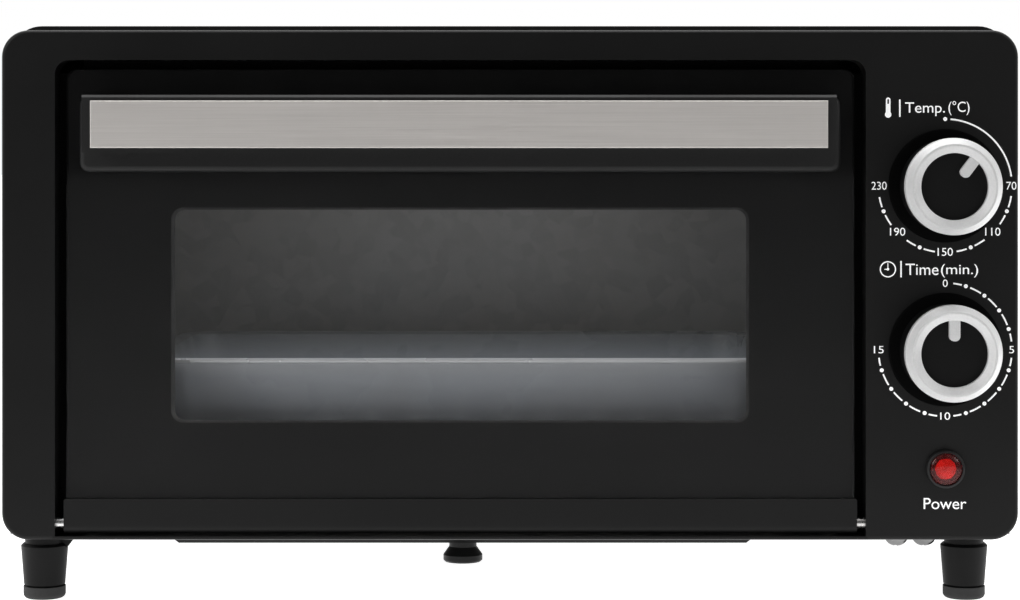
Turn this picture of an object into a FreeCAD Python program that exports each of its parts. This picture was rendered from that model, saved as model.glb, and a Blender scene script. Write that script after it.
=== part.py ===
import FreeCAD, Part
import os
import re

import Sketcher

# Toaster oven, in millimetres. The front faces -Y, +X is to the right as seen from the
# front, +Z is up, and the origin is on the table under the middle of the whole oven.

SIZES = {
    # body
    "body_width": 380, "body_depth": 250, "base_height": 24.3, "frame_height": 190.5,
    "handle_out": 25, "rear_out": 8,
    # pressed front with its control panel
    "frame_depth": 16, "frame_wall": 0.8, "frame_corner": 10, "frame_edge": 1.6,
    "opening_left": 170, "opening_right": 132.9, "sill_rise": 1.4, "head_rise": 179.4,
    "opening_corner": 5.5, "lip_depth": 12,
    # outer cover, rear panel and base
    "sheet_wall": 0.5, "cover_inset": 0.4, "cover_rise": 2.2, "cover_corner": 12,
    "slot_width": 3, "slot_height": 26, "slot_pitch": 9, "side_vents": 10,
    "side_vent_start": 90, "side_vent_rise": 60, "high_vent_rise": 110,
    "rear_vents": 20, "rear_vent_start": 70, "rear_vent_rise": 80, "rear_high_vent_rise": 112,
    "boss_margin": 40, "boss_control_margin": 88, "boss_proud": 3, "boss_slope": 2.4,
    "base_flange": 12,
    # cavity
    "cavity_left": 160.5, "cavity_right": 123.5, "cavity_depth": 205, "cavity_height": 174.5,
    "cavity_wall": 0.5, "tube_hole": 6.2,
    # door
    "side_gap": 4.1, "head_gap": 3.5, "glass_setback": 1.6, "glass_thick": 4,
    "glass_corner": 3.7, "rail_rise": 2.1, "rail_height": 13.3, "rail_wall": 0.9,
    "rail_extra": 0.9, "rail_fold": 2.9, "rail_slack": 0.1, "pin_wall": 0.1, "block_height": 5.7,
    "block_length": 14, "rail_relief": 3, "inner_inset": 8, "inner_wall": 0.6, "inner_rim": 6,
    "window_width": 214.5, "window_height": 79, "window_rise": 44.3, "window_corner": 4,
    # door hinge
    "hinge_rise": 6, "pin_radius": 2, "running_fit": 0.05, "bracket_wall": 3,
    "bracket_height": 14, "bracket_gap": 0.2, "pin_past": 0.8, "lip_hole": 2.5,
    # handle
    "grip_width": 283, "grip_rise": 137.5, "grip_height": 28.4, "grip_thick": 7,
    "bar_width": 275.4, "bar_root_rise": 8.4, "bar_throat_rise": 9.3, "bar_throat_out": 3,
    "bar_nose_rise": 7.5, "bar_back": 0.9, "plate_width": 268.8,
    "plate_height": 17.3, "plate_thick": 1.6, "plate_rise": 9, "grip_corner": 3.7,
    "handle_screw_span": 224, "handle_screw_reach": 12, "screw_shank": 2, "screw_head": 4,
    "screw_head_height": 2.4,
    # rack and tray
    "rail_ledge": 10, "ledge_wall": 1, "ledge_rise": 36.8, "ledge_leg": 6, "rack_gap": 3.5,
    "rail_front_gap": 6, "rail_rear_gap": 2,
    "rack_rod": 2, "rack_wire": 1.25, "rack_wires": 15, "rack_start": 24, "rack_length": 186,
    "tray_width": 250, "tray_length": 150, "tray_height": 25, "tray_wall": 0.6,
    "tray_start": 3, "tray_corner": 14, "tray_rim": 5, "tray_taper": 6, "hook_length": 10,
    "hook_inset": 15,
    # heaters
    "tube_radius": 5, "lower_tube_rise": 24, "upper_tube_rise": 160, "front_tube": 55,
    "rear_tube": 160, "ceramic_radius": 8, "ceramic_length": 7, "tube_past": 2,
    # crumb flap in the base
    "flap_width": 232, "flap_start": 42, "flap_length": 170, "flap_drop": 8,
    "flap_gap": 0.3, "flap_slope": 5, "flap_wall": 0.8, "flap_border": 6, "tab_wall": 1.2,
    "flap_pin": 1.5, "flap_pin_drop": 4.5, "flap_pin_back": 4, "knuckle_radius": 3,
    "knuckle_length": 12, "knuckle_inset": 12, "ear_wall": 2, "ear_gap": 1, "pin_end": 1,
    "crumb_knob_radius": 5.4, "crumb_knob_neck": 2.2, "crumb_knob_lip": 7.7,
    "crumb_lip_start": 5.4, "crumb_lip_end": 7.5, "crumb_knob_tip": 7,
    "crumb_knob_height": 8.2, "crumb_knob_back": 12, "crumb_stem": 2.3,
    # controls
    "control_x": 162.5, "temperature_rise": 132.4, "timer_rise": 71.2, "lamp_rise": 26.7,
    "pointer_rest": 37, "dish_radius": 21.2, "dish_thick": 1, "knob_gap": 0.6,
    "knob_radius": 17.8, "knob_ridge": 15.2, "ridge_width": 0.8, "knob_hole": 12.3,
    "knob_front": 23, "knob_shoulder": 20, "shoulder_step": 0.3, "ring_back": 16.5,
    "ring_inner_front": 21.7, "skirt_radius": 17.2, "skirt_wall": 2, "cap_front": 19.6,
    "cap_back": 5, "pointer_width": 4, "pointer_start": 4.7, "pointer_root": 0.5,
    "pointer_round": 1.8, "shaft_radius": 3, "shaft_front": 15,
    "shaft_past": 8, "collar_radius": 4.8, "collar_slack": 0.2, "control_width": 40,
    "control_height": 42, "control_depth": 28, "control_corner": 2, "nut_radius": 7,
    "nut_thick": 2.2, "bell_radius": 19, "bell_height": 10, "bell_wall": 1, "bell_roof": 5.5,
    "bell_post": 2, "lamp_radius": 7.2, "lens_radius": 6.2, "bezel_round": 0.9,
    "lens_seat": 0.8, "lens_round": 1.6, "lamp_proud": 2.4, "lens_proud": 3.4,
    "lamp_body_radius": 5.6, "lamp_body_length": 22, "lamp_nut": 8, "lamp_nut_thick": 2.5,
    # feet and fasteners
    "foot_left": 176.9, "foot_right": 172.5, "foot_inset": 18, "foot_top": 8.9,
    "foot_bottom": 7.75, "foot_neck": 7.4, "foot_edge": 0.8, "neck_height": 3.5,
    "pad_radius": 7.95, "pad_height": 4.6, "pad_round": 1.8,
    "web_reach": 12, "web_deep": 4.9, "web_tip": 0.8, "web_width": 5, "foot_screw": 1.8,
    "foot_screw_length": 12,
    "dome_radius": 4.3, "dome_height": 3.2, "dome_round": 2.2, "dome_x": 145.4,
    "dome_pitch": 10.3, "dome_back": 8, "dome_shank": 5, "rear_screw_inset": 9,
    "rear_screw_lift": 12, "rear_head": 3.6, "rear_head_height": 1.8, "rear_head_round": 0.7,
    "rear_screw_length": 8,
    # mains entry and wiring
    "gland_x": 150, "gland_rise": 22, "gland_radius": 7, "gland_bore": 3.6,
    "gland_flange": 9, "gland_flange_wall": 2, "gland_length": 14, "gland_round": 0.7,
    "block_x": 150, "block_rise": 48, "block_width": 30, "block_deep": 16, "block_tall": 22,
    "way_radius": 2.8, "way_depth": 6, "lead_radius": 1.4, "lead_bend": 9, "lead_drop": 30,
    "lead_spacing": 12, "link_side": 16, "link_out": 24, "link_low": 3, "link_high": 10,
    "lead_tab_rise": 5,
    # how far a cut runs past the faces it opens
    "cut_past": 1,
}

# Places worked out from the sizes, as expressions.
FRONT = "((handle_out - rear_out - body_depth) / 2)"
REAR = f"({FRONT} + body_depth)"
LEFT = "(-body_width / 2)"
RIGHT = "(body_width / 2)"
BASE = "base_height"
TOP = "(base_height + frame_height)"
SILL = "(base_height + sill_rise)"
HEAD = "(base_height + head_rise)"
HINGE_Y = f"({FRONT} + glass_setback + glass_thick / 2)"
HINGE_Z = "(base_height + hinge_rise)"
GLASS_LEFT = "(-opening_left + side_gap)"
GLASS_RIGHT = "(opening_right - side_gap)"
GLASS_FRONT = f"({FRONT} + glass_setback)"
GLASS_BACK = f"({FRONT} + glass_setback + glass_thick)"
DOOR_X = "((opening_right - opening_left) / 2)"
CAVITY_FRONT = f"({FRONT} + lip_depth)"
CAVITY_BACK = f"({CAVITY_FRONT} + cavity_depth)"
CAVITY_TOP = "(base_height + cavity_height)"
FLOOR = "(base_height + frame_wall)"
LEDGE = "(base_height + ledge_rise)"
ROD_Z = f"({LEDGE} + rack_rod)"
TRAY_Z = f"({LEDGE} + 2 * rack_rod)"
RACK_LEFT = "(-cavity_left + rack_gap)"
RACK_RIGHT = "(cavity_right - rack_gap)"
RACK_FRONT = f"({FRONT} + rack_start)"
RACK_BACK = f"({RACK_FRONT} + rack_length)"
FLAP_LEFT = f"({DOOR_X} - flap_width / 2)"
FLAP_RIGHT = f"({DOOR_X} + flap_width / 2)"
FLAP_FRONT = f"({FRONT} + flap_start)"
FLAP_BACK = f"({FLAP_FRONT} + flap_length)"
FLAP_TOP = "(base_height - flap_gap)"
FLAP_PIN_Y = f"({FLAP_BACK} + flap_pin_back)"
FLAP_PIN_Z = "(base_height - flap_pin_drop)"
PANEL_BACK = f"({FRONT} + frame_wall)"
# The rail's channel takes the glass, and the pins below it.
CHANNEL_HALF = "max(glass_thick / 2 + rail_slack; pin_radius + pin_wall)"
CHANNEL = (f"{HINGE_Y} - {CHANNEL_HALF}", f"{HINGE_Y} + {CHANNEL_HALF}")

doc = FreeCAD.newDocument("toaster_oven")
sheet = doc.addObject("Spreadsheet::Sheet", "dims")
for row, (alias, size) in enumerate(SIZES.items(), 1):
    sheet.set(f"A{row}", alias)
    sheet.set(f"B{row}", str(size))
    sheet.setAlias(f"B{row}", alias)
doc.recompute()

AXES = {"x": (0, 1, 0, 90), "y": (1, 0, 0, -90), "z": (0, 0, 1, 0)}
sub_parts = []


def bound(expression):
    """The expression with each size read from the sheet."""
    return re.sub(
        r"[A-Za-z_]\w*",
        lambda word: f"dims.{word[0]}" if word[0] in SIZES else word[0],
        str(expression),
    )


def value(expression):
    return float(sheet.evalExpression(bound(expression)))


def new_body(label):
    body = doc.addObject("PartDesign::Body", label)
    body.Label = label
    body.AllowCompound = True
    sub_parts.append(body)
    return body


def place(piece, x, y, z):
    for letter, expression in zip("xyz", (x, y, z)):
        piece.setExpression(f"Placement.Base.{letter}", bound(expression))


def feature(body, kind, name, cut):
    return body.newObject(f"PartDesign::{'Subtractive' if cut else 'Additive'}{kind}", name)


def block(body, name, x, y, z, cut=False):
    """A box from its low and high expression on each axis."""
    box = feature(body, "Box", name, cut)
    for side, (low, high) in zip(("Length", "Width", "Height"), (x, y, z)):
        box.setExpression(side, bound(f"({high}) - ({low})"))
    place(box, x[0], y[0], z[0])
    return box


def rod(body, name, axis, centre, radius, low, high, cut=False):
    """A cylinder along an axis; centre gives its other two coordinates in order."""
    bar = feature(body, "Cylinder", name, cut)
    *direction, angle = AXES[axis]
    turned = FreeCAD.Rotation(FreeCAD.Vector(*direction), angle)
    bar.Placement = FreeCAD.Placement(FreeCAD.Vector(), turned)
    bar.setExpression("Radius", bound(radius))
    bar.setExpression("Height", bound(f"({high}) - ({low})"))
    at = list(centre)
    at.insert("xyz".index(axis), low)
    place(bar, *at)
    return bar


def through(low, high):
    """The span of a cut that runs a little past both faces."""
    return f"{low} - cut_past", f"{high} + cut_past"


def edges_where(shape, test):
    return [f"Edge{i}" for i, edge in enumerate(shape.Edges, 1) if test(edge)]


def faces_where(shape, test):
    return [f"Face{i}" for i, face in enumerate(shape.Faces, 1) if test(face)]


def along(edge, axis):
    """Whether a straight edge runs along x, y or z."""
    if edge.Curve.TypeId != "Part::GeomLine":
        return False
    run = edge.valueAt(edge.LastParameter) - edge.valueAt(edge.FirstParameter)
    return abs(abs(run.normalize()["xyz".index(axis)]) - 1) < 1e-6


def near(a, expression):
    return abs(a - value(expression)) < 1e-3


def dress(body, kind, name, size, chosen, test):
    """A fillet, chamfer or thickness on the edges or faces of the body so far."""
    doc.recompute()
    base = body.Tip
    picks = edges_where(base.Shape, test) if chosen == "edges" else faces_where(base.Shape, test)
    if not picks:
        raise ValueError(f"{body.Label}: nothing to dress for {name}")
    dressed = body.newObject(f"PartDesign::{kind}", name)
    dressed.Base = (base, picks)
    dressed.setExpression({"Fillet": "Radius", "Chamfer": "Size", "Thickness": "Value"}[kind],
                          bound(size))
    return dressed


def rounded(body, name, radius, test):
    return dress(body, "Fillet", name, radius, "edges", test)


def chamfered(body, name, size, test):
    return dress(body, "Chamfer", name, size, "edges", test)


def hollowed(body, name, wall, open_face):
    shell = dress(body, "Thickness", name, wall, "faces", open_face)
    shell.Reversed = True
    shell.Join = "Intersection"
    return shell


def origin_feature(body, role):
    return next(item for item in body.Origin.OriginFeatures if item.Role == role)


def repeated(body, name, original, axis, pitch, count):
    """Copies of a feature in a row."""
    row_of = body.newObject("PartDesign::LinearPattern", name)
    row_of.Originals = [original]
    row_of.Direction = (origin_feature(body, f"{axis}_Axis"), [""])
    row_of.setExpression("Length", bound(f"({pitch}) * (({count}) - 1)"))
    row_of.setExpression("Occurrences", bound(count))
    body.Tip = row_of
    return row_of


def outline(body, name, plane, points, offset="0"):
    """A closed sketch of straight sides whose corners are bound to the sheet."""
    sketch = body.newObject("Sketcher::SketchObject", name)
    sketch.AttachmentSupport = [(origin_feature(body, f"{plane}_Plane"), "")]
    sketch.MapMode = "FlatFace"
    sketch.setExpression("AttachmentOffset.Base.z", bound(offset))
    corners = [FreeCAD.Vector(value(u), value(v), 0) for u, v in points]
    last = len(corners) - 1
    for i, corner in enumerate(corners):
        sketch.addGeometry(Part.LineSegment(corner, corners[0 if i == last else i + 1]), False)
    for i in range(len(corners)):
        sketch.addConstraint(Sketcher.Constraint("Coincident", i, 2, 0 if i == last else i + 1, 1))
    for i, (corner, point) in enumerate(zip(corners, points)):
        for kind, distance, expression in zip(("DistanceX", "DistanceY"), corner, point):
            index = sketch.addConstraint(Sketcher.Constraint(kind, -1, 1, i, 1, distance))
            sketch.setExpression(f"Constraints[{index}]", bound(expression))
    return sketch


def padded(body, name, sketch, length):
    pad = body.newObject("PartDesign::Pad", name)
    pad.Profile = sketch
    pad.setExpression("Length", bound(length))
    return pad


def turned(body, name, sketch, axis):
    turn = body.newObject("PartDesign::Revolution", name)
    turn.Profile = sketch
    turn.ReferenceAxis = (origin_feature(body, f"{axis}_Axis"), [""])
    turn.Angle = 360
    return turn


# ---------------------------------------------------------------- case

def make_front_frame():
    """One pressed sheet: the door surround and the control panel."""
    body = new_body("front_frame")
    back = f"{FRONT} + frame_depth"
    block(body, "blank", (LEFT, RIGHT), (FRONT, back), (BASE, TOP))
    rounded(body, "corners", "frame_corner", lambda e: along(e, "y"))
    rounded(body, "pressed_edge", "frame_edge", lambda e: near(e.BoundBox.YMax, FRONT))
    hollowed(body, "hollow", "frame_wall", lambda f: near(f.BoundBox.YMin, back))
    block(body, "surround", ("-opening_left - frame_wall", "opening_right + frame_wall"),
          (FRONT, CAVITY_FRONT), (f"{SILL} - frame_wall", f"{HEAD} + frame_wall"))
    block(body, "opening", ("-opening_left", "opening_right"), through(FRONT, CAVITY_FRONT),
          (SILL, HEAD), cut=True)

    def opening_top(edge):
        return (along(edge, "y") and near(edge.BoundBox.ZMax, HEAD)
                and edge.BoundBox.XMax < value("opening_right + frame_wall / 2"))

    rounded(body, "opening_corners", "opening_corner", opening_top)
    for name, rise in (("temperature", "temperature_rise"), ("timer", "timer_rise")):
        rod(body, f"{name}_hole", "y", ("control_x", f"base_height + {rise}"),
            "collar_radius + collar_slack", *through(FRONT, PANEL_BACK), cut=True)
    rod(body, "lamp_hole", "y", ("control_x", "base_height + lamp_rise"),
        "lamp_body_radius + collar_slack", *through(FRONT, PANEL_BACK), cut=True)
    rod(body, "pin_holes", "x", (HINGE_Y, HINGE_Z), "lip_hole",
        *through("-opening_left - frame_wall", "opening_right + frame_wall"), cut=True)
    for i in range(2):
        rod(body, f"dome_hole_{i}", "z", (f"dome_x + dome_pitch * {i}", f"{FRONT} + dome_back"),
            "foot_screw", *through(BASE, f"{BASE} + frame_wall"), cut=True)


def make_outer_cover():
    """The wrap over the top and both sides: a hem at its front, vents beside the controls."""
    body = new_body("outer_cover")
    low, high = f"{LEFT} + cover_inset", f"{RIGHT} - cover_inset"
    front, back = f"{FRONT} + frame_depth", f"{REAR} - sheet_wall"
    inner = "cover_inset + sheet_wall"
    block(body, "wrap", (low, high), (front, back), (BASE, f"{TOP} + cover_rise"))
    rounded(body, "shoulders", "cover_corner",
            lambda e: along(e, "y") and near(e.BoundBox.ZMax, f"{TOP} + cover_rise"))

    def open_side(face):
        box = face.BoundBox
        return near(box.YMin, back) or (near(box.ZMax, BASE) and box.ZLength < 0.001)

    hollowed(body, "hollow", "sheet_wall", open_side)
    hem_depth = through(front, f"{front} + sheet_wall")
    bend = (f"{LEFT} + frame_corner", f"{RIGHT} - frame_corner", f"{TOP} - frame_corner")
    block(body, "wide_opening", (f"{LEFT} + frame_wall", f"{RIGHT} - frame_wall"), hem_depth,
          (f"{BASE} - cut_past", bend[2]), cut=True)
    block(body, "high_opening", bend[:2], hem_depth, (bend[2], f"{TOP} - frame_wall"), cut=True)
    for i, x in enumerate(bend[:2]):
        rod(body, f"opening_bend_{i}", "y", (x, bend[2]), "frame_corner - frame_wall",
            *hem_depth, cut=True)
    for name, rise in (("side_vent", "side_vent_rise"), ("high_vent", "high_vent_rise")):
        start = f"{FRONT} + side_vent_start"
        slot = block(body, name, through(f"{RIGHT} - ({inner})", RIGHT),
                     (start, f"{start} + slot_width"),
                     (f"{BASE} + {rise}", f"{BASE} + {rise} + slot_height"), cut=True)
        repeated(body, f"{name}s", slot, "Y", "slot_pitch", "side_vents")


def make_rear_panel():
    """The flat back with its raised middle, vents and cable hole."""
    body = new_body("rear_panel")
    front = f"{REAR} - sheet_wall"
    block(body, "plate", (f"{LEFT} + cover_inset", f"{RIGHT} - cover_inset"), (front, REAR),
          (BASE, f"{TOP} + cover_rise"))
    rounded(body, "top_corners", "cover_corner",
            lambda e: along(e, "y") and near(e.BoundBox.ZMax, f"{TOP} + cover_rise"))
    x = (f"{LEFT} + boss_margin", f"{RIGHT} - boss_control_margin")
    z = (f"{BASE} + boss_margin", f"{TOP} - boss_margin")
    block(body, "boss", x, (REAR, f"{REAR} + boss_proud"), z)
    chamfered(body, "boss_slope", "boss_slope",
              lambda e: near(e.BoundBox.YMin, f"{REAR} + boss_proud"))
    block(body, "boss_inside", (f"{x[0]} + boss_proud", f"{x[1]} - boss_proud"),
          (f"{front} - cut_past", f"{REAR} + boss_proud - sheet_wall"),
          (f"{z[0]} + boss_proud", f"{z[1]} - boss_proud"), cut=True)
    for name, rise in (("vent", "rear_vent_rise"), ("high_vent", "rear_high_vent_rise")):
        start = f"{LEFT} + rear_vent_start"
        slot = block(body, name, (start, f"{start} + slot_width"),
                     through(front, f"{REAR} + boss_proud"),
                     (f"{BASE} + {rise}", f"{BASE} + {rise} + slot_height"), cut=True)
        repeated(body, f"{name}s", slot, "X", "slot_pitch", "rear_vents")
    rod(body, "cable_hole", "y", ("gland_x", "base_height + gland_rise"), "gland_radius",
        *through(front, REAR), cut=True)
    for i, place_xz in enumerate(rear_screw_places()):
        rod(body, f"screw_hole_{i}", "y", place_xz, "screw_shank", *through(front, REAR),
            cut=True)


def rear_screw_places():
    across = (f"{LEFT} + rear_screw_inset", "0", f"{RIGHT} - rear_screw_inset")
    rises = (f"{BASE} + rear_screw_lift", f"{TOP} - rear_screw_inset")
    return [(x, z) for x in across for z in rises]


def make_base_pan():
    """The bottom sheet, which is also the cavity's floor, open over the crumb flap."""
    body = new_body("base_pan")
    inner = "cover_inset + sheet_wall"
    x = (f"{LEFT} + {inner}", f"{RIGHT} - ({inner})")
    y = (f"{FRONT} + frame_depth", f"{REAR} - sheet_wall")
    block(body, "sheet", x, y, (BASE, FLOOR))
    block(body, "left_flange", (x[0], f"{x[0]} + frame_wall"), y, (BASE, f"{FLOOR} + base_flange"))
    block(body, "right_flange", (f"{x[1]} - frame_wall", x[1]), y,
          (BASE, f"{FLOOR} + base_flange"))
    block(body, "crumb_opening", (f"{FLAP_LEFT} + flap_border", f"{FLAP_RIGHT} - flap_border"),
          (f"{FLAP_FRONT} + flap_border", f"{FLAP_BACK} - flap_border"),
          through(BASE, FLOOR), cut=True)
    for name, x, y, _ in FEET:
        rod(body, f"{name}_hole", "z", (x, y), "foot_screw", *through(BASE, FLOOR), cut=True)


# ---------------------------------------------------------------- cavity

def make_cavity():
    """The bright steel lining: two sides, a top and a back."""
    z = (FLOOR, CAVITY_TOP)
    flange = (CAVITY_FRONT, f"{CAVITY_FRONT} + cavity_wall")
    sides = (
        ("cavity_side_left", ("-cavity_left - cavity_wall", "-cavity_left"),
         ("-opening_left - frame_wall", "-cavity_left")),
        ("cavity_side_right", ("cavity_right", "cavity_right + cavity_wall"),
         ("cavity_right", "opening_right + frame_wall")),
    )
    for label, x, flange_x in sides:
        body = new_body(label)
        block(body, "wall", x, (CAVITY_FRONT, CAVITY_BACK), z)
        block(body, "front_flange", flange_x, flange, z)
        for i, (y, rise) in enumerate(TUBES.values()):
            rod(body, f"tube_hole_{i}", "x", (f"{FRONT} + {y}", f"base_height + {rise}"),
                "tube_hole", *through(*x), cut=True)
    across = ("-cavity_left - cavity_wall", "cavity_right + cavity_wall")
    top = new_body("cavity_top")
    block(top, "sheet", across, (CAVITY_FRONT, f"{CAVITY_BACK} + cavity_wall"),
          (CAVITY_TOP, f"{CAVITY_TOP} + cavity_wall"))
    block(top, "front_flange", across, flange, (CAVITY_TOP, f"{HEAD} + frame_wall"))
    back = new_body("cavity_back")
    block(back, "sheet", across, (CAVITY_BACK, f"{CAVITY_BACK} + cavity_wall"), z)


def make_rack_rails():
    """Angles on the side walls that carry the rack."""
    y = (f"{CAVITY_FRONT} + rail_front_gap", f"{CAVITY_BACK} - rail_rear_gap")
    sides = (
        ("rack_rail_left", ("-cavity_left", "-cavity_left + rail_ledge"),
         ("-cavity_left", "-cavity_left + ledge_wall")),
        ("rack_rail_right", ("cavity_right - rail_ledge", "cavity_right"),
         ("cavity_right - ledge_wall", "cavity_right")),
    )
    for label, ledge, leg in sides:
        body = new_body(label)
        block(body, "ledge", ledge, y, (f"{LEDGE} - ledge_wall", LEDGE))
        block(body, "leg", leg, y, (f"{LEDGE} - ledge_leg", LEDGE))


def make_heaters():
    """Four tubes across the cavity, held by a ceramic ring outside each wall."""
    ends = {"left": new_body("heater_ends_left"), "right": new_body("heater_ends_right")}
    span = {
        "left": ("-cavity_left - cavity_wall - ceramic_length", "-cavity_left - cavity_wall"),
        "right": ("cavity_right + cavity_wall", "cavity_right + cavity_wall + ceramic_length"),
    }
    for label, (y, rise) in TUBES.items():
        centre = (f"{FRONT} + {y}", f"base_height + {rise}")
        tube = new_body(label)
        rod(tube, "tube", "x", centre, "tube_radius", f"{span['left'][0]} - tube_past",
            f"{span['right'][1]} + tube_past")
        for side, (low, high) in span.items():
            rod(ends[side], f"{label}_ring", "x", centre, "ceramic_radius", low, high)
    for label, (y, rise) in TUBES.items():
        for side, (low, high) in span.items():
            rod(ends[side], f"{label}_bore", "x", (f"{FRONT} + {y}", f"base_height + {rise}"),
                "tube_radius", *through(low, high), cut=True)


# ---------------------------------------------------------------- door

def make_door_glass():
    body = new_body("door_glass")
    block(body, "pane", (GLASS_LEFT, GLASS_RIGHT), (GLASS_FRONT, GLASS_BACK),
          (f"{HINGE_Z} + block_height / 2 + rail_slack", f"{HEAD} - head_gap"))
    rounded(body, "top_corners", "glass_corner",
            lambda e: along(e, "y") and near(e.BoundBox.ZMax, f"{HEAD} - head_gap"))
    for i, x in enumerate(handle_screw_places()):
        rod(body, f"screw_hole_{i}", "y", (x, grip_middle()), "screw_shank + collar_slack",
            *through(GLASS_FRONT, GLASS_BACK), cut=True)


def handle_screw_places():
    return [f"{DOOR_X} - handle_screw_span / 2", f"{DOOR_X} + handle_screw_span / 2"]


def grip_middle():
    return "(base_height + grip_rise + grip_height / 2)"


def make_door_inner_frame():
    """The pressed steel frame behind the glass, with a rim and the window opening."""
    body = new_body("door_inner_frame")
    x = (f"{GLASS_LEFT} + inner_inset", f"{GLASS_RIGHT} - inner_inset")
    z = ("base_height + rail_rise + rail_height", f"{HEAD} - head_gap - inner_inset")
    back = f"{GLASS_BACK} + inner_rim"
    block(body, "blank", x, (GLASS_BACK, back), z)
    hollowed(body, "hollow", "inner_wall", lambda f: near(f.BoundBox.YMin, back))
    block(body, "window", (f"{DOOR_X} - window_width / 2", f"{DOOR_X} + window_width / 2"),
          through(GLASS_BACK, f"{GLASS_BACK} + inner_wall"),
          ("base_height + window_rise", "base_height + window_rise + window_height"), cut=True)

    def window_corner(edge):
        box = edge.BoundBox
        return (along(edge, "y") and box.XMin > value(f"{x[0]} + inner_rim")
                and box.XMax < value(f"{x[1]} - inner_rim"))

    rounded(body, "window_corners", "window_corner", window_corner)
    for i, place_x in enumerate(handle_screw_places()):
        rod(body, f"screw_hole_{i}", "y", (place_x, grip_middle()),
            "screw_shank + collar_slack", *through(GLASS_BACK, back), cut=True)


def make_door_bottom_rail():
    """The folded channel that holds the foot of the glass."""
    body = new_body("door_bottom_rail")
    low, high = "base_height + rail_rise", "base_height + rail_rise + rail_height"
    x = (f"{GLASS_LEFT} - rail_extra", f"{GLASS_RIGHT} + rail_extra")
    front = f"{CHANNEL[0]} - rail_wall"
    back = f"{CHANNEL[1]} + rail_wall"
    block(body, "blank", x, (front, back), (low, high))
    rounded(body, "fold", "rail_fold",
            lambda e: along(e, "x") and near(e.BoundBox.ZMax, low))
    rounded(body, "shoulders", "rail_wall",
            lambda e: along(e, "y") and near(e.BoundBox.ZMax, high))
    block(body, "channel", through(*x), CHANNEL,
          (f"{HINGE_Z} - block_height / 2", f"{high} + cut_past"), cut=True)
    block(body, "back_relief", through(*x),
          (f"{back} - rail_wall - running_fit", f"{back} + cut_past"),
          (f"{high} - rail_relief", f"{high} + cut_past"), cut=True)


def make_hinges():
    """Pins in the ends of the door's rail, which turn in brackets behind the surround."""
    sides = (
        ("left", f"{GLASS_LEFT} - rail_extra", -1, "-opening_left - frame_wall"),
        ("right", f"{GLASS_RIGHT} + rail_extra", 1, "opening_right + frame_wall"),
    )
    for side, rail_end, way, lip in sides:
        def span(near_end, far_end):
            return (near_end, far_end) if way > 0 else (far_end, near_end)

        inside = f"({rail_end}) - {way} * block_length"
        outside = f"({lip}) + {way} * (bracket_gap + bracket_wall + pin_past)"
        holder = new_body(f"rail_end_{side}")
        block(holder, "block", span(inside, rail_end), CHANNEL,
              (f"{HINGE_Z} - block_height / 2", f"{HINGE_Z} + block_height / 2"))
        rod(holder, "bore", "x", (HINGE_Y, HINGE_Z), "pin_radius",
            *through(*span(inside, rail_end)), cut=True)
        pin = new_body(f"hinge_pin_{side}")
        rod(pin, "pin", "x", (HINGE_Y, HINGE_Z), "pin_radius", *span(inside, outside))
        chamfered(pin, "ends", "pin_radius / 5", lambda e: e.Curve.TypeId == "Part::GeomCircle")
        bracket = new_body(f"hinge_bracket_{side}")
        plate = span(f"({lip}) + {way} * bracket_gap",
                     f"({lip}) + {way} * (bracket_gap + bracket_wall)")
        block(bracket, "plate", plate, (PANEL_BACK, CAVITY_FRONT),
              (f"{BASE} + frame_edge", f"{BASE} + frame_edge + bracket_height"))
        rod(bracket, "bore", "x", (HINGE_Y, HINGE_Z), "pin_radius + running_fit",
            *through(*plate), cut=True)


def make_handle():
    """The black grip with its finger recess, the bright plate on it, and its screws."""
    grip = new_body("handle_grip")
    low = "base_height + grip_rise"
    high = f"{low} + grip_height"
    bar_front = f"{FRONT} - handle_out + plate_thick"
    slab_front = f"{GLASS_FRONT} - grip_thick"
    block(grip, "slab", (f"{DOOR_X} - grip_width / 2", f"{DOOR_X} + grip_width / 2"),
          (slab_front, GLASS_FRONT), (low, high))
    rounded(grip, "slab_corners", "grip_corner", lambda e: along(e, "y"))
    rounded(grip, "slab_edge", "grip_thick / 3", lambda e: near(e.BoundBox.YMax, slab_front))
    bar = outline(grip, "bar_section", "YZ", (
        (f"{slab_front} + cut_past", f"{low} + bar_root_rise"),
        (f"{slab_front} - bar_throat_out", f"{low} + bar_throat_rise"),
        (bar_front, f"{low} + bar_nose_rise"),
        (bar_front, f"{high} - bar_back"),
        (f"{bar_front} + bar_back", high),
        (f"{slab_front} + cut_past", high),
    ), f"{DOOR_X} - bar_width / 2")
    padded(grip, "bar", bar, "bar_width")
    for i, x in enumerate(handle_screw_places()):
        rod(grip, f"screw_hole_{i}", "y", (x, grip_middle()), "screw_shank",
            f"{GLASS_FRONT} - handle_screw_reach", f"{GLASS_FRONT} + cut_past", cut=True)

    plate = new_body("handle_plate")
    rise = f"{low} + plate_rise"
    block(plate, "plate", (f"{DOOR_X} - plate_width / 2", f"{DOOR_X} + plate_width / 2"),
          (f"{FRONT} - handle_out", bar_front), (rise, f"{rise} + plate_height"))
    rounded(plate, "edges", "plate_thick / 3",
            lambda e: near(e.BoundBox.YMax, f"{FRONT} - handle_out"))

    screws = new_body("handle_screws")
    for i, x in enumerate(handle_screw_places()):
        head = f"{GLASS_BACK} + inner_wall"
        rod(screws, f"shank_{i}", "y", (x, grip_middle()), "screw_shank",
            f"{GLASS_FRONT} - handle_screw_reach", head)
        rod(screws, f"head_{i}", "y", (x, grip_middle()), "screw_head",
            head, f"{head} + screw_head_height")


# ---------------------------------------------------------------- rack, tray and crumb flap

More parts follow.
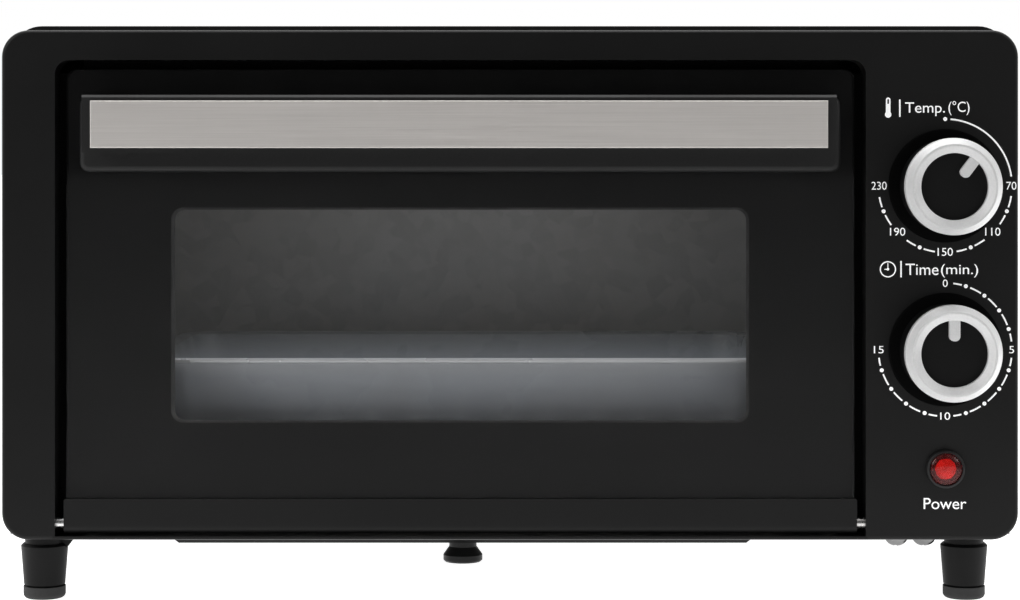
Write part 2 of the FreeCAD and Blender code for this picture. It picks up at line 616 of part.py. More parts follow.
def make_wire_rack():
    """A welded grid of rods, with two short hooks towards the door."""
    body = new_body("wire_rack")
    for name, x in (("left", RACK_LEFT), ("right", RACK_RIGHT)):
        rod(body, f"{name}_rod", "y", (f"{x}", ROD_Z), "rack_rod", RACK_FRONT, RACK_BACK)
    for name, y in (("front", RACK_FRONT), ("rear", RACK_BACK)):
        rod(body, f"{name}_rod", "x", (y, ROD_Z), "rack_rod",
            f"{RACK_LEFT} - rack_rod / 2", f"{RACK_RIGHT} + rack_rod / 2")
    pitch = f"({RACK_RIGHT} - {RACK_LEFT}) / (rack_wires + 1)"
    wire = rod(body, "wire", "y", (f"{RACK_LEFT} + {pitch}", f"{ROD_Z} + rack_rod - rack_wire"),
               "rack_wire", RACK_FRONT, RACK_BACK)
    repeated(body, "wires", wire, "X", pitch, "rack_wires")
    for name, x in (("left", f"{RACK_LEFT} + hook_inset"), ("right", f"{RACK_RIGHT} - hook_inset")):
        rod(body, f"{name}_hook", "y", (x, ROD_Z), "rack_wire",
            f"{RACK_FRONT} - hook_length", RACK_FRONT)


def make_baking_tray():
    """A drawn tray with sloping sides and a flat rim."""
    body = new_body("baking_tray")
    x = (f"{DOOR_X} - tray_width / 2", f"{DOOR_X} + tray_width / 2")
    y = (f"{RACK_FRONT} + tray_start", f"{RACK_FRONT} + tray_start + tray_length")
    top = f"{TRAY_Z} + tray_height"
    pan_x = (f"{x[0]} + tray_rim", f"{x[1]} - tray_rim")
    pan_y = (f"{y[0]} + tray_rim", f"{y[1]} - tray_rim")
    block(body, "pan", pan_x, pan_y, (TRAY_Z, top))
    rounded(body, "pan_corners", "tray_corner", lambda e: along(e, "z"))
    chamfered(body, "pan_slope", "tray_taper", lambda e: near(e.BoundBox.ZMax, TRAY_Z))
    block(body, "rim", x, y, (f"{top} - tray_wall * 2", top))

    def rim_corner(edge):
        box = edge.BoundBox
        return (along(edge, "z") and near(box.ZMax, top)
                and (near(box.XMin, x[0]) or near(box.XMin, x[1])))

    rounded(body, "rim_corners", "tray_corner + tray_rim", rim_corner)
    hollowed(body, "hollow", "tray_wall",
             lambda f: near(f.BoundBox.ZMin, top) and f.BoundBox.ZLength < 0.001)


def make_crumb_flap():
    """The drop-down dish under the cavity, its knob, hinge rod and ears."""
    flap = new_body("crumb_flap")
    low = f"{FLAP_TOP} - flap_drop + flap_gap"
    block(flap, "dish", (FLAP_LEFT, FLAP_RIGHT), (FLAP_FRONT, FLAP_BACK), (low, FLAP_TOP))
    chamfered(flap, "slopes", "flap_slope", lambda e: near(e.BoundBox.ZMax, low))
    hollowed(flap, "hollow", "flap_wall", lambda f: near(f.BoundBox.ZMin, FLAP_TOP))
    starts = (f"{FLAP_LEFT} + knuckle_inset", f"{FLAP_RIGHT} - knuckle_inset - knuckle_length")
    for i, start in enumerate(starts):
        end = f"{start} + knuckle_length"
        block(flap, f"tab_{i}", (start, end), (f"{FLAP_BACK} - flap_wall", FLAP_PIN_Y),
              (f"{FLAP_PIN_Z} + knuckle_radius - tab_wall", f"{FLAP_PIN_Z} + knuckle_radius"))
        rod(flap, f"knuckle_{i}", "x", (FLAP_PIN_Y, FLAP_PIN_Z), "knuckle_radius", start, end)
    for i, start in enumerate(starts):
        rod(flap, f"knuckle_bore_{i}", "x", (FLAP_PIN_Y, FLAP_PIN_Z), "flap_pin + running_fit",
            *through(start, f"{start} + knuckle_length"), cut=True)
    knob_y = f"{FLAP_FRONT} + crumb_knob_back"
    rod(flap, "knob_hole", "z", (DOOR_X, knob_y), "screw_shank",
        *through(low, f"{low} + flap_wall"), cut=True)

    knob = new_body("crumb_knob")
    section = outline(knob, "section", "XZ", (
        ("0", "0"), ("crumb_knob_radius", "0"), ("crumb_knob_radius", "-crumb_knob_neck"),
        ("crumb_knob_lip", "-crumb_lip_start"), ("crumb_knob_lip", "-crumb_lip_end"),
        ("crumb_knob_tip", "-crumb_knob_height"), ("0", "-crumb_knob_height"),
    ))
    turned(knob, "turn", section, "Z")
    rod(knob, "stem", "z", ("0", "0"), "screw_shank", "0", "crumb_stem")
    place(knob, DOOR_X, knob_y, low)

    rod_body = new_body("crumb_hinge_rod")
    ears = new_body("crumb_hinge_ears")
    left = f"({starts[0]} - ear_gap - ear_wall)"
    right = f"({starts[1]} + knuckle_length + ear_gap)"
    rod(rod_body, "rod", "x", (FLAP_PIN_Y, FLAP_PIN_Z), "flap_pin", f"{left} - pin_end",
        f"{right} + ear_wall + pin_end")
    for name, x in (("left", left), ("right", right)):
        block(ears, name, (x, f"{x} + ear_wall"),
              (f"{FLAP_PIN_Y} - knuckle_radius", f"{FLAP_PIN_Y} + knuckle_radius"),
              (f"{FLAP_PIN_Z} - knuckle_radius", BASE))
    for name, x in (("left", left), ("right", right)):
        rod(ears, f"{name}_bore", "x", (FLAP_PIN_Y, FLAP_PIN_Z), "flap_pin",
            *through(x, f"{x} + ear_wall"), cut=True)


# ---------------------------------------------------------------- controls

def make_control(name, rise, body_label, rest_angle):
    """A rotary control: its body behind the panel, shaft, dish, and a black knob with a
    bright ring and pointer let into its front."""
    centre = ("control_x", f"base_height + {rise}")

    dish = new_body(f"{name}_dish")
    rod(dish, "disc", "y", centre, "dish_radius", f"{FRONT} - dish_thick", FRONT)
    rounded(dish, "edge", "dish_thick / 2",
            lambda e: near(e.BoundBox.YMax, f"{FRONT} - dish_thick"))
    rod(dish, "hole", "y", centre, "collar_radius", *through(f"{FRONT} - dish_thick", FRONT),
        cut=True)

    case = new_body(body_label)
    block(case, "case", (f"{centre[0]} - control_width / 2", f"{centre[0]} + control_width / 2"),
          (PANEL_BACK, f"{PANEL_BACK} + control_depth"),
          (f"{centre[1]} - control_height / 2", f"{centre[1]} + control_height / 2"))
    rounded(case, "case_edges", "control_corner", lambda e: along(e, "y"))
    rod(case, "collar", "y", centre, "collar_radius", f"{FRONT} - dish_thick - nut_thick",
        f"{PANEL_BACK} + cut_past")
    rod(case, "bore", "y", centre, "shaft_radius + running_fit",
        *through(f"{FRONT} - dish_thick - nut_thick", f"{PANEL_BACK} + shaft_past"), cut=True)

    shaft = new_body(f"{name}_shaft")
    rod(shaft, "shaft", "y", centre, "shaft_radius", f"{FRONT} - shaft_front",
        f"{PANEL_BACK} + shaft_past")

    ring = new_body(f"{name}_knob_ring")
    section = outline(ring, "section", "XY", (
        ("knob_hole", "-ring_back"), ("knob_radius", "-ring_back"),
        ("knob_radius", "-knob_shoulder"),
        ("knob_radius - shoulder_step", "-knob_shoulder - shoulder_step"),
        ("knob_ridge + ridge_width / 2", "-knob_front"),
        ("knob_ridge - ridge_width / 2", "-knob_front"), ("knob_hole", "-ring_inner_front"),
    ))
    turned(ring, "turn", section, "Y")
    block(ring, "pointer", ("-pointer_width / 2", "pointer_width / 2"),
          ("-ring_inner_front", "-cap_front"), ("pointer_start", "knob_hole + pointer_root"))
    rounded(ring, "pointer_tip", "pointer_round",
            lambda e: along(e, "y") and near(e.BoundBox.ZMin, "pointer_start"))

    cap = new_body(f"{name}_knob_cap")
    section = outline(cap, "section", "XY", (
        ("shaft_radius", "-cap_back"), ("skirt_radius - skirt_wall", "-cap_back"),
        ("skirt_radius - skirt_wall", "-dish_thick - knob_gap"),
        ("skirt_radius", "-dish_thick - knob_gap"), ("skirt_radius", "-ring_back"),
        ("knob_hole", "-ring_back"), ("knob_hole", "-cap_front"), ("0", "-cap_front"),
        ("0", "-shaft_front"), ("shaft_radius", "-shaft_front"),
    ))
    turned(cap, "turn", section, "Y")

    for piece in (ring, cap):
        piece.Placement = FreeCAD.Placement(
            FreeCAD.Vector(), FreeCAD.Rotation(FreeCAD.Vector(0, 1, 0), 1))
        piece.setExpression("Placement.Rotation.Angle", bound(rest_angle))
        place(piece, centre[0], FRONT, centre[1])


def make_control_nuts():
    """A hexagon nut on each collar, in front of its dish."""
    nuts = new_body("control_nuts")
    for name, rise in (("temperature", "temperature_rise"), ("timer", "timer_rise")):
        corners = [
            (f"control_x + nut_radius * {c}", f"base_height + {rise} + nut_radius * {s}")
            for c, s in (("1", "0"), ("0.5", "0.866"), ("-0.5", "0.866"),
                         ("-1", "0"), ("-0.5", "-0.866"), ("0.5", "-0.866"))
        ]
        sketch = outline(nuts, f"{name}_hexagon", "XZ", corners, f"-({FRONT} - dish_thick)")
        padded(nuts, f"{name}_nut", sketch, "nut_thick")
    for name, rise in (("temperature", "temperature_rise"), ("timer", "timer_rise")):
        rod(nuts, f"{name}_thread", "y", ("control_x", f"base_height + {rise}"),
            "collar_radius", *through(f"{FRONT} - dish_thick - nut_thick", FRONT), cut=True)


def make_timer_bell():
    """The bell cup on the back of the timer, rung when the time is up."""
    body = new_body("timer_bell")
    centre = ("control_x", "base_height + timer_rise")
    start = f"{PANEL_BACK} + control_depth"
    rod(body, "cup", "y", centre, "bell_radius", start, f"{start} + bell_height")
    rounded(body, "dome", "bell_height / 2", lambda e: near(e.BoundBox.YMin, f"{start} + bell_height"))
    rod(body, "inside", "y", centre, "bell_radius - bell_wall", f"{start} - cut_past",
        f"{start} + bell_height - bell_roof", cut=True)
    rod(body, "post", "y", centre, "bell_post", start, f"{start} + bell_height - bell_wall")


def make_lamp():
    """The pilot light: bezel, red lens and the body behind the panel."""
    centre = ("control_x", "base_height + lamp_rise")
    bezel = new_body("lamp_bezel")
    proud, seat = f"{FRONT} - lamp_proud", f"{FRONT} - lens_seat"
    rod(bezel, "ring", "y", centre, "lamp_radius", proud, FRONT)
    rounded(bezel, "edge", "bezel_round", lambda e: near(e.BoundBox.YMax, proud))
    rod(bezel, "hole", "y", centre, "lens_radius", f"{proud} - cut_past", seat, cut=True)
    rod(bezel, "through", "y", centre, "lamp_body_radius", *through(seat, FRONT), cut=True)
    lens = new_body("lamp_lens")
    rod(lens, "lens", "y", centre, "lens_radius", f"{FRONT} - lens_proud", seat)
    rounded(lens, "dome", "lens_round", lambda e: near(e.BoundBox.YMax, f"{FRONT} - lens_proud"))
    lamp = new_body("lamp_body")
    rod(lamp, "barrel", "y", centre, "lamp_body_radius", seat, f"{FRONT} + lamp_body_length")
    rod(lamp, "nut", "y", centre, "lamp_nut", PANEL_BACK, f"{PANEL_BACK} + lamp_nut_thick")


# ---------------------------------------------------------------- feet and fasteners

def make_feet():
    """Tapered feet with a sloped web, each with a screw from inside and a rubber pad."""
    pads = new_body("foot_pads")
    screws = new_body("foot_screws")
    for label, x, y, web_turn in FEET:
        foot = new_body(label)
        section = outline(foot, "section", "XZ", (
            ("0", "pad_height"), ("foot_bottom - foot_edge", "pad_height"),
            ("foot_bottom", "pad_height + foot_edge"),
            ("foot_top", "base_height - neck_height - foot_edge"),
            ("foot_top - foot_edge", "base_height - neck_height"),
            ("foot_neck", "base_height - neck_height"), ("foot_neck", "base_height"),
            ("0", "base_height"),
        ))
        turned(foot, "turn", section, "Z")
        web = outline(foot, "web_section", "XZ", (
            ("foot_neck - cut_past", "base_height"), ("web_reach", "base_height"),
            ("web_reach", "base_height - web_tip"), ("foot_top", "base_height - web_deep"),
            ("foot_neck - cut_past", "base_height - web_deep"),
        ), "-web_width / 2")
        padded(foot, "web", web, "web_width")
        rod(foot, "screw_hole", "z", ("0", "0"), "foot_screw",
            f"{FLOOR} - foot_screw_length", "base_height + cut_past", cut=True)
        foot.Placement = FreeCAD.Placement(
            FreeCAD.Vector(), FreeCAD.Rotation(FreeCAD.Vector(0, 0, 1), web_turn))
        place(foot, x, y, "0")
        rod(pads, f"{label}_pad", "z", (x, y), "pad_radius", "0", "pad_height")
        rod(screws, f"{label}_shank", "z", (x, y), "foot_screw",
            f"{FLOOR} - foot_screw_length", FLOOR)
        rod(screws, f"{label}_head", "z", (x, y), "rear_head", FLOOR,
            f"{FLOOR} + rear_head_height")
    rounded(pads, "pad_edges", "pad_round", lambda e: near(e.BoundBox.ZMax, "0"))


def make_screws():
    """Rear panel screws, and the two domed screws under the control side."""
    rear = new_body("rear_screws")
    for i, place_xz in enumerate(rear_screw_places()):
        rod(rear, f"shank_{i}", "y", place_xz, "screw_shank", f"{REAR} - rear_screw_length", REAR)
        rod(rear, f"head_{i}", "y", place_xz, "rear_head", REAR, f"{REAR} + rear_head_height")
    rounded(rear, "heads", "rear_head_round",
            lambda e: near(e.BoundBox.YMin, f"{REAR} + rear_head_height"))

    domes = new_body("panel_screws")
    for i in range(2):
        at = (f"dome_x + dome_pitch * {i}", f"{FRONT} + dome_back")
        rod(domes, f"shank_{i}", "z", at, "foot_screw", BASE, f"{BASE} + dome_shank")
        rod(domes, f"head_{i}", "z", at, "dome_radius", f"{BASE} - dome_height", BASE)
    rounded(domes, "domes", "dome_round",
            lambda e: near(e.BoundBox.ZMax, f"{BASE} - dome_height"))


# ---------------------------------------------------------------- mains entry and wiring

def make_mains_entry():
    gland = new_body("cord_gland")
    centre = ("gland_x", "base_height + gland_rise")
    rod(gland, "barrel", "y", centre, "gland_radius", f"{REAR} + rear_out - gland_length",
        f"{REAR} + rear_out")
    rod(gland, "outer_flange", "y", centre, "gland_flange", REAR, f"{REAR} + gland_flange_wall")
    rounded(gland, "soft_edges", "gland_round", lambda e: near(e.BoundBox.YMin, f"{REAR} + rear_out")
            or (near(e.BoundBox.YMin, f"{REAR} + gland_flange_wall")
                and near(e.BoundBox.XLength, "gland_flange * 2")))
    rod(gland, "bore", "y", centre, "gland_bore",
        *through(f"{REAR} + rear_out - gland_length", f"{REAR} + rear_out"), cut=True)

    terminals = new_body("terminal_block")
    back = f"{REAR} - sheet_wall"
    x = ("block_x - block_width / 2", "block_x + block_width / 2")
    z = (f"{BASE} + block_rise", f"{BASE} + block_rise + block_tall")
    block(terminals, "block", x, (f"{back} - block_deep", back), z)
    for i in range(3):
        at = (f"{x[0]} + block_width * {2 * i + 1} / 6", f"{z[0]} + block_tall / 2")
        rod(terminals, f"way_{i}", "y", at, "way_radius", f"{back} - block_deep - cut_past",
            f"{back} - block_deep + way_depth", cut=True)


def bent_tube(points, radius, bend):
    """A tube along straight runs joined by tangent arcs."""
    edges = []
    start = points[0]
    for before, corner, after in zip(points, points[1:], points[2:]):
        towards, onward = (before - corner).normalize(), (after - corner).normalize()
        arc_from, arc_to = corner + towards * bend, corner + onward * bend
        across = (towards + onward).normalize()
        middle = corner + across * (bend * (2 ** 0.5 - 1))
        edges.append(Part.LineSegment(start, arc_from).toShape())
        edges.append(Part.Arc(arc_from, middle, arc_to).toShape())
        start = arc_to
    edges.append(Part.LineSegment(start, points[-1]).toShape())
    run = points[1] - points[0]
    disc = Part.Face(Part.Wire(Part.makeCircle(radius, points[0], run)))
    return Part.Wire(edges).makePipeShell([disc.OuterWire], True, False)


def make_leads():
    """Insulated leads that join the terminals, the timer and the thermostat."""
    control_back = value(f"{PANEL_BACK} + control_depth")
    block_front = value(f"{REAR} - sheet_wall - block_deep")
    radius, bend = value("lead_radius"), value("lead_bend")
    width = value("block_width")
    mid_z = value("base_height + block_rise + block_tall / 2")
    timer_tab = value("base_height + timer_rise - control_height / 2 + lead_tab_rise")
    thermostat_tab = value("base_height + temperature_rise")
    runs = ((-width / 3, timer_tab, 0), (width / 3, thermostat_tab, value("lead_spacing")))
    solids = []
    for offset, z, behind in runs:
        x_block = value("block_x") + offset
        turn_y = block_front - value("lead_drop") - behind
        points = [
            FreeCAD.Vector(x_block, block_front, mid_z),
            FreeCAD.Vector(x_block, turn_y, mid_z),
            FreeCAD.Vector(x_block, turn_y, z),
            FreeCAD.Vector(x_block, control_back, z),
        ]
        solids.append(bent_tube(points, radius, bend))
    x_link = value("control_x - link_side")
    low = value("base_height + timer_rise + control_height / 2 - link_low")
    high = value("base_height + temperature_rise - link_high")
    out = control_back + value("link_out")
    points = [
        FreeCAD.Vector(x_link, control_back, low), FreeCAD.Vector(x_link, out, low),
        FreeCAD.Vector(x_link, out, high), FreeCAD.Vector(x_link, control_back, high),
    ]
    solids.append(bent_tube(points, radius, bend))
    leads = doc.addObject("Part::Feature", "internal_leads")
    leads.Label = "internal_leads"
    leads.Shape = Part.makeCompound([Part.Solid(s) if s.ShapeType == "Shell" else s for s in solids])
    leads.Placement = FreeCAD.Placement()
    sub_parts.append(leads)


TUBES = {
    "heater_lower_front": ("front_tube", "lower_tube_rise"),
    "heater_lower_rear": ("rear_tube", "lower_tube_rise"),
    "heater_upper_front": ("front_tube", "upper_tube_rise"),
    "heater_upper_rear": ("rear_tube", "upper_tube_rise"),
}

# Each foot: its name, place, and the turn of its web about its axis.
FEET = (
    ("foot_front_left", "-foot_left", f"{FRONT} + foot_inset", 0),
    ("foot_front_right", "foot_right", f"{FRONT} + foot_inset", 90),
    ("foot_rear_left", "-foot_left", f"{REAR} - foot_inset", 0),
    ("foot_rear_right", "foot_right", f"{REAR} - foot_inset", -90),
)

make_front_frame()
make_outer_cover()
make_rear_panel()
make_base_pan()
make_cavity()
make_rack_rails()
make_heaters()
make_door_glass()
make_door_inner_frame()
make_door_bottom_rail()
make_hinges()
make_handle()
make_wire_rack()
make_baking_tray()
make_crumb_flap()
make_control("temperature", "temperature_rise", "thermostat", "pointer_rest")
make_control("timer", "timer_rise", "timer", "0")
make_control_nuts()
make_timer_bell()
make_lamp()
make_feet()
make_screws()
make_mains_entry()
make_leads()

doc.recompute()

problems = []
for item in doc.Objects:
    if "Invalid" in item.State or "Error" in item.State:
        problems.append(f"{item.Label} is {item.State}")
for piece in sub_parts:
    if piece.Shape.isNull() or not piece.Shape.isValid():
        problems.append(f"{piece.Label} has no valid shape")
if problems:
    raise RuntimeError("; ".join(problems))

os.makedirs("parts", exist_ok=True)
for piece in sub_parts:
    piece.Shape.exportStep(f"parts/{piece.Label}.step")
    print(f"{piece.Label}: {len(piece.Shape.Solids)} solids, {piece.Shape.Volume / 1000:.2f} cm3")
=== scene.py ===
"""Toaster oven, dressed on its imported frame. Metres, +Z up, the door faces -Y."""
import math

import bmesh
import bpy
from mathutils import Matrix, Vector


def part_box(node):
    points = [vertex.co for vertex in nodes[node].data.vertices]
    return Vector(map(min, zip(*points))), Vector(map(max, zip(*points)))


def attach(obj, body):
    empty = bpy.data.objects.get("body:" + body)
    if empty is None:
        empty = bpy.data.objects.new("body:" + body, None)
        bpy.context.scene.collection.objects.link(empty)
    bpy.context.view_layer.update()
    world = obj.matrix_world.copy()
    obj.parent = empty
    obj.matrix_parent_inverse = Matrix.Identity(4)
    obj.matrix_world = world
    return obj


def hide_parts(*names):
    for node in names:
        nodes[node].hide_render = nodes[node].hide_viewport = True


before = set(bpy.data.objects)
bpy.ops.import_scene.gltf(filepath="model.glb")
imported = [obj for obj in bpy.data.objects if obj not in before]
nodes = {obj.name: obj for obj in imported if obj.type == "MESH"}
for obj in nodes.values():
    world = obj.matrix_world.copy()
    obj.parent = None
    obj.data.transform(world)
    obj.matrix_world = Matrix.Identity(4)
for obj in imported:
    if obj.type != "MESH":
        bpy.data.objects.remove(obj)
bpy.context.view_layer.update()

MM = 0.001
UPRIGHT = Matrix.Rotation(math.radians(90), 4, "X")


def middle(node):
    low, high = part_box(node)
    return (low + high) / 2


PANEL_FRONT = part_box("front_frame")[0].y
TEMPERATURE = middle("temperature_dish")
TIMER = middle("timer_dish")
LAMP = middle("lamp_bezel")
FLANGE_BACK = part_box("cavity_side_left")[0].y + 0.6 * MM
TRAY_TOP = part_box("baking_tray")[1].z
TRAY_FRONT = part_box("baking_tray")[0].y


# ------------------------------------------------------------------ shader building

class Signal:
    """A shader socket that can stand in a sum: each operator adds its Math node."""

    def __init__(self, finish, socket):
        self.finish = finish
        self.socket = socket

    def maths(self, operation, first, second):
        return self.finish.node("ShaderNodeMath", {"operation": operation}, {0: first, 1: second})

    def __add__(self, other):
        return self.maths("ADD", self, other)

    def __sub__(self, other):
        return self.maths("SUBTRACT", self, other)

    def __rsub__(self, other):
        return self.maths("SUBTRACT", other, self)

    def __mul__(self, other):
        return self.maths("MULTIPLY", self, other)

    def __gt__(self, other):
        return self.maths("GREATER_THAN", self, other)

    __radd__ = __add__
    __rmul__ = __mul__


class Finish:
    """One procedural material in the making."""

    def __init__(self, name):
        self.material = bpy.data.materials.new(name)
        self.material.use_nodes = True
        self.tree = self.material.node_tree
        self.tree.nodes.clear()
        self.place = self.node("ShaderNodeTexCoord", output="Object")

    def node(self, kind, settings=None, sockets=None, output=0):
        """Adds a node: its settings first, then the values or links of its sockets."""
        made = self.tree.nodes.new(kind)
        for name, setting in (settings or {}).items():
            setattr(made, name, setting)
        for key, entry in (sockets or {}).items():
            if isinstance(entry, Signal):
                self.tree.links.new(entry.socket, made.inputs[key])
            else:
                made.inputs[key].default_value = entry
        return Signal(self, made.outputs[output]) if made.outputs else None

    def moved(self, centre=(0, 0, 0), stretch=(1, 1, 1)):
        """Object coordinates measured from a centre, then stretched."""
        shift = [-c * s for c, s in zip(centre, stretch)]
        return self.node("ShaderNodeMapping", None,
                         {"Vector": self.place, "Location": shift, "Scale": stretch})

    def noise(self, scale, detail=3.0, stretch=None, roughness=0.5):
        place = self.moved(stretch=stretch) if stretch else self.place
        return self.node("ShaderNodeTexNoise", None,
                         {"Vector": place, "Scale": scale, "Detail": detail, "Roughness": roughness})

    def cells(self, scale, output="Distance"):
        return self.node("ShaderNodeTexVoronoi", None, {"Vector": self.place, "Scale": scale}, output)

    def along(self, axis):
        """The place along one axis, "X", "Y" or "Z"."""
        return self.node("ShaderNodeSeparateXYZ", None, {"Vector": self.place}, axis)

    def spread(self, signal, low, high, start=0.3, end=0.7):
        """The signal's start..end stretched over low..high."""
        return self.node("ShaderNodeMapRange", None, {
            "Value": signal, "From Min": start, "From Max": end, "To Min": low, "To Max": high})

    def tint(self, share, first, second):
        """The first colour where share is 0 and the second where it is 1."""
        return self.node("ShaderNodeMix", {"data_type": "RGBA"}, {0: share, 6: first, 7: second}, 2)

    def bump(self, height, depth, under=None, strength=1.0):
        sockets = {"Height": height, "Distance": depth, "Strength": strength}
        if under:
            sockets["Normal"] = under
        return self.node("ShaderNodeBump", None, sockets)

    def principled(self, sockets):
        shader = self.node("ShaderNodeBsdfPrincipled", None, sockets)
        self.node("ShaderNodeOutputMaterial", None, {"Surface": shader})
        return self.material


PEEL_DEPTH = 0.012 * MM


def grey(level, warmth=0.0):
    return (level * (1 + warmth), level, level * (1 - warmth), 1.0)


def satin_paint(name, level, rough_low, rough_high, shine):
    """Sprayed satin enamel: orange peel, faint cloudiness, rubbed streaks and shiny edges."""
    paint = Finish(name)
    cloud = paint.noise(14.0, 4.0)
    peel = paint.noise(1100.0, 2.0)
    rub = paint.noise(90.0, 5.0, stretch=(1.0, 1.0, 7.0), roughness=0.65)
    edge = paint.node("ShaderNodeLayerWeight", None, {"Blend": 0.5}, "Facing")
    colour = paint.tint(paint.spread(cloud, 0.0, 1.0), grey(level * 0.85), grey(level * 1.2, 0.01))
    return paint.principled({
        "Base Color": colour,
        "Roughness": paint.spread(cloud * 0.6 + rub * 0.4, rough_low, rough_high),
        "Normal": paint.bump(peel, PEEL_DEPTH),
        "Specular IOR Level": shine,
        "Coat Weight": paint.spread(edge, 0.0, 0.7, 0.45, 0.9),
        "Coat Roughness": 0.28,
    })


def moulded_plastic(name, level, rough_low, rough_high, shine=0.25, depth=0.00002):
    """Spark-grained moulded plastic, slightly polished where fingers touch it."""
    plastic = Finish(name)
    grain = plastic.noise(2300.0, 3.0)
    touched = plastic.noise(30.0, 4.0)
    colour = plastic.tint(plastic.spread(grain, 0.0, 1.0), grey(level * 0.8), grey(level * 1.25))
    return plastic.principled({
        "Base Color": colour,
        "Roughness": plastic.spread(touched, rough_low, rough_high),
        "Normal": plastic.bump(grain, depth),
        "Specular IOR Level": shine,
    })


def aluminised_sheet():
    """Cavity sheet: a faint spangle, rolled streaks, straw heat marks, and a near-black, matte front
    band that is painted shade for the gap round the door.
    """
    sheet = Finish("aluminised_sheet")
    # In front of FLANGE_BACK the sheet is painted near black, matte and dull: painted shade for the gap
    # round the door.
    beyond_painted_shade = sheet.along("Y") > FLANGE_BACK
    spangle = sheet.cells(150.0, output="Color")
    flake = sheet.node("ShaderNodeSeparateColor", None, {"Color": spangle})
    rolled = sheet.noise(60.0, 3.0, stretch=(12.0, 0.6, 12.0))
    heat = sheet.noise(9.0, 4.0)
    base = sheet.tint(flake * 0.5 + rolled * 0.5, grey(0.38, 0.01), grey(0.53, 0.02))
    colour = sheet.tint(sheet.spread(heat, 0.0, 0.3, 0.4, 0.85), base, (0.33, 0.28, 0.21, 1.0))
    return sheet.principled({
        "Base Color": sheet.tint(beyond_painted_shade, grey(0.003), colour),
        "Metallic": sheet.spread(heat, 0.75, 0.55) * beyond_painted_shade,
        "Roughness": sheet.spread(flake * 0.3 + rolled * 0.7, 0.38, 0.58) * beyond_painted_shade + (1 - beyond_painted_shade) * 0.9,
        "Normal": sheet.bump(rolled, 0.00003),
        "Specular IOR Level": 0.05,
    })


def plated_steel(name, level, rough_low, rough_high, dull=0.0):
    """Bright plated steel with drawn scratches and a few dull spots."""
    steel = Finish(name)
    scratch = steel.noise(420.0, 4.0, stretch=(1.0, 1.0, 0.25), roughness=0.7)
    spots = steel.noise(70.0, 3.0)
    colour = steel.tint(steel.spread(spots, 0.0, 1.0, 0.4, 0.75), grey(level), grey(level * 0.7, dull))
    return steel.principled({
        "Base Color": colour,
        "Metallic": steel.spread(spots, 1.0, 0.85, 0.5, 0.8),
        "Roughness": steel.spread(scratch, rough_low, rough_high),
        "Normal": steel.bump(scratch, 0.000006),
    })


def blackened_steel():
    """Heat-proof black coating over sheet steel, thin on its high spots."""
    steel = Finish("blackened_steel")
    skin = steel.noise(240.0, 5.0)
    wear_and_painted_highlight = steel.noise(35.0, 6.0, roughness=0.7)
    colour = steel.tint(steel.spread(wear_and_painted_highlight, 0.0, 1.0, 0.5, 0.8), grey(0.035), grey(0.09, 0.03))
    return steel.principled({
        "Base Color": colour,
        "Metallic": steel.spread(wear_and_painted_highlight, 0.2, 0.6, 0.5, 0.8),
        "Roughness": steel.spread(skin, 0.42, 0.6),
        "Normal": steel.bump(skin, 0.00001),
    })


def heater_oxide():
    """Heater sheath: dark oxide with bands of blue and straw along its length."""
    sheath = Finish("heater_oxide")
    bands = sheath.noise(7.0, 3.0, stretch=(1.0, 0.05, 0.05))
    speck = sheath.noise(600.0, 4.0)
    warm = sheath.tint(sheath.spread(bands, 0.0, 1.0, 0.35, 0.65),
                       (0.10, 0.085, 0.07, 1.0), (0.07, 0.075, 0.10, 1.0))
    return sheath.principled({
        "Base Color": sheath.tint(sheath.spread(speck, 0.0, 0.5), warm, grey(0.16, 0.05)),
        "Metallic": sheath.spread(speck, 0.65, 0.45),
        "Roughness": sheath.spread(speck, 0.4, 0.6),
        "Normal": sheath.bump(speck, 0.00001),
    })


def chalky_ceramic(name, light, dark, scale=800.0):
    """A dry, slightly speckled body such as steatite or nylon."""
    body = Finish(name)
    speck = body.noise(scale, 4.0, roughness=0.6)
    return body.principled({
        "Base Color": body.tint(body.spread(speck, 0.0, 1.0), light, dark),
        "Roughness": body.spread(speck, 0.5, 0.75),
        "Normal": body.bump(speck, 0.000015),
    })


def oven_glass():
    """Smoked tempered glass with faint wiping marks."""
    glass = Finish("oven_glass")
    wiped = glass.noise(26.0, 5.0, stretch=(0.35, 1.0, 1.6), roughness=0.6)
    return glass.principled({
        "Base Color": glass.tint(glass.spread(wiped, 0.0, 1.0), grey(0.008), grey(0.014)),
        "Roughness": glass.spread(wiped, 0.015, 0.05),
        "Alpha": glass.spread(wiped, 0.20, 0.235),
        "Specular IOR Level": 0.55,
    })


def glass_print():
    """The black enamel border fired on the back of the glass."""
    enamel = Finish("glass_print")
    mottle = enamel.noise(55.0, 5.0)
    pinholes = enamel.noise(2600.0, 2.0)
    return enamel.principled({
        "Base Color": enamel.tint(enamel.spread(mottle, 0.0, 1.0), grey(0.0022), grey(0.0042)),
        "Roughness": enamel.spread(mottle, 0.32, 0.5),
        "Normal": enamel.bump(pinholes, 0.0000008),
        "Specular IOR Level": 0.1,
    })


def brushed_plate():
    """Handle trim: satin steel brushed along its length."""
    plate = Finish("brushed_plate")
    fine = plate.noise(150.0, 4.0, stretch=(0.12, 8.0, 22.0), roughness=0.7)
    broad = plate.noise(16.0, 3.0, stretch=(0.3, 1.0, 9.0))
    colour = plate.tint(plate.spread(fine * 0.7 + broad * 0.3, 0.0, 1.0),
                        (0.50, 0.475, 0.455, 1.0), (0.63, 0.60, 0.575, 1.0))
    return plate.principled({
        "Base Color": colour,
        "Metallic": plate.spread(broad, 0.5, 0.62),
        "Roughness": plate.spread(fine, 0.34, 0.5),
        "Normal": plate.bump(fine, 0.000010),
    })


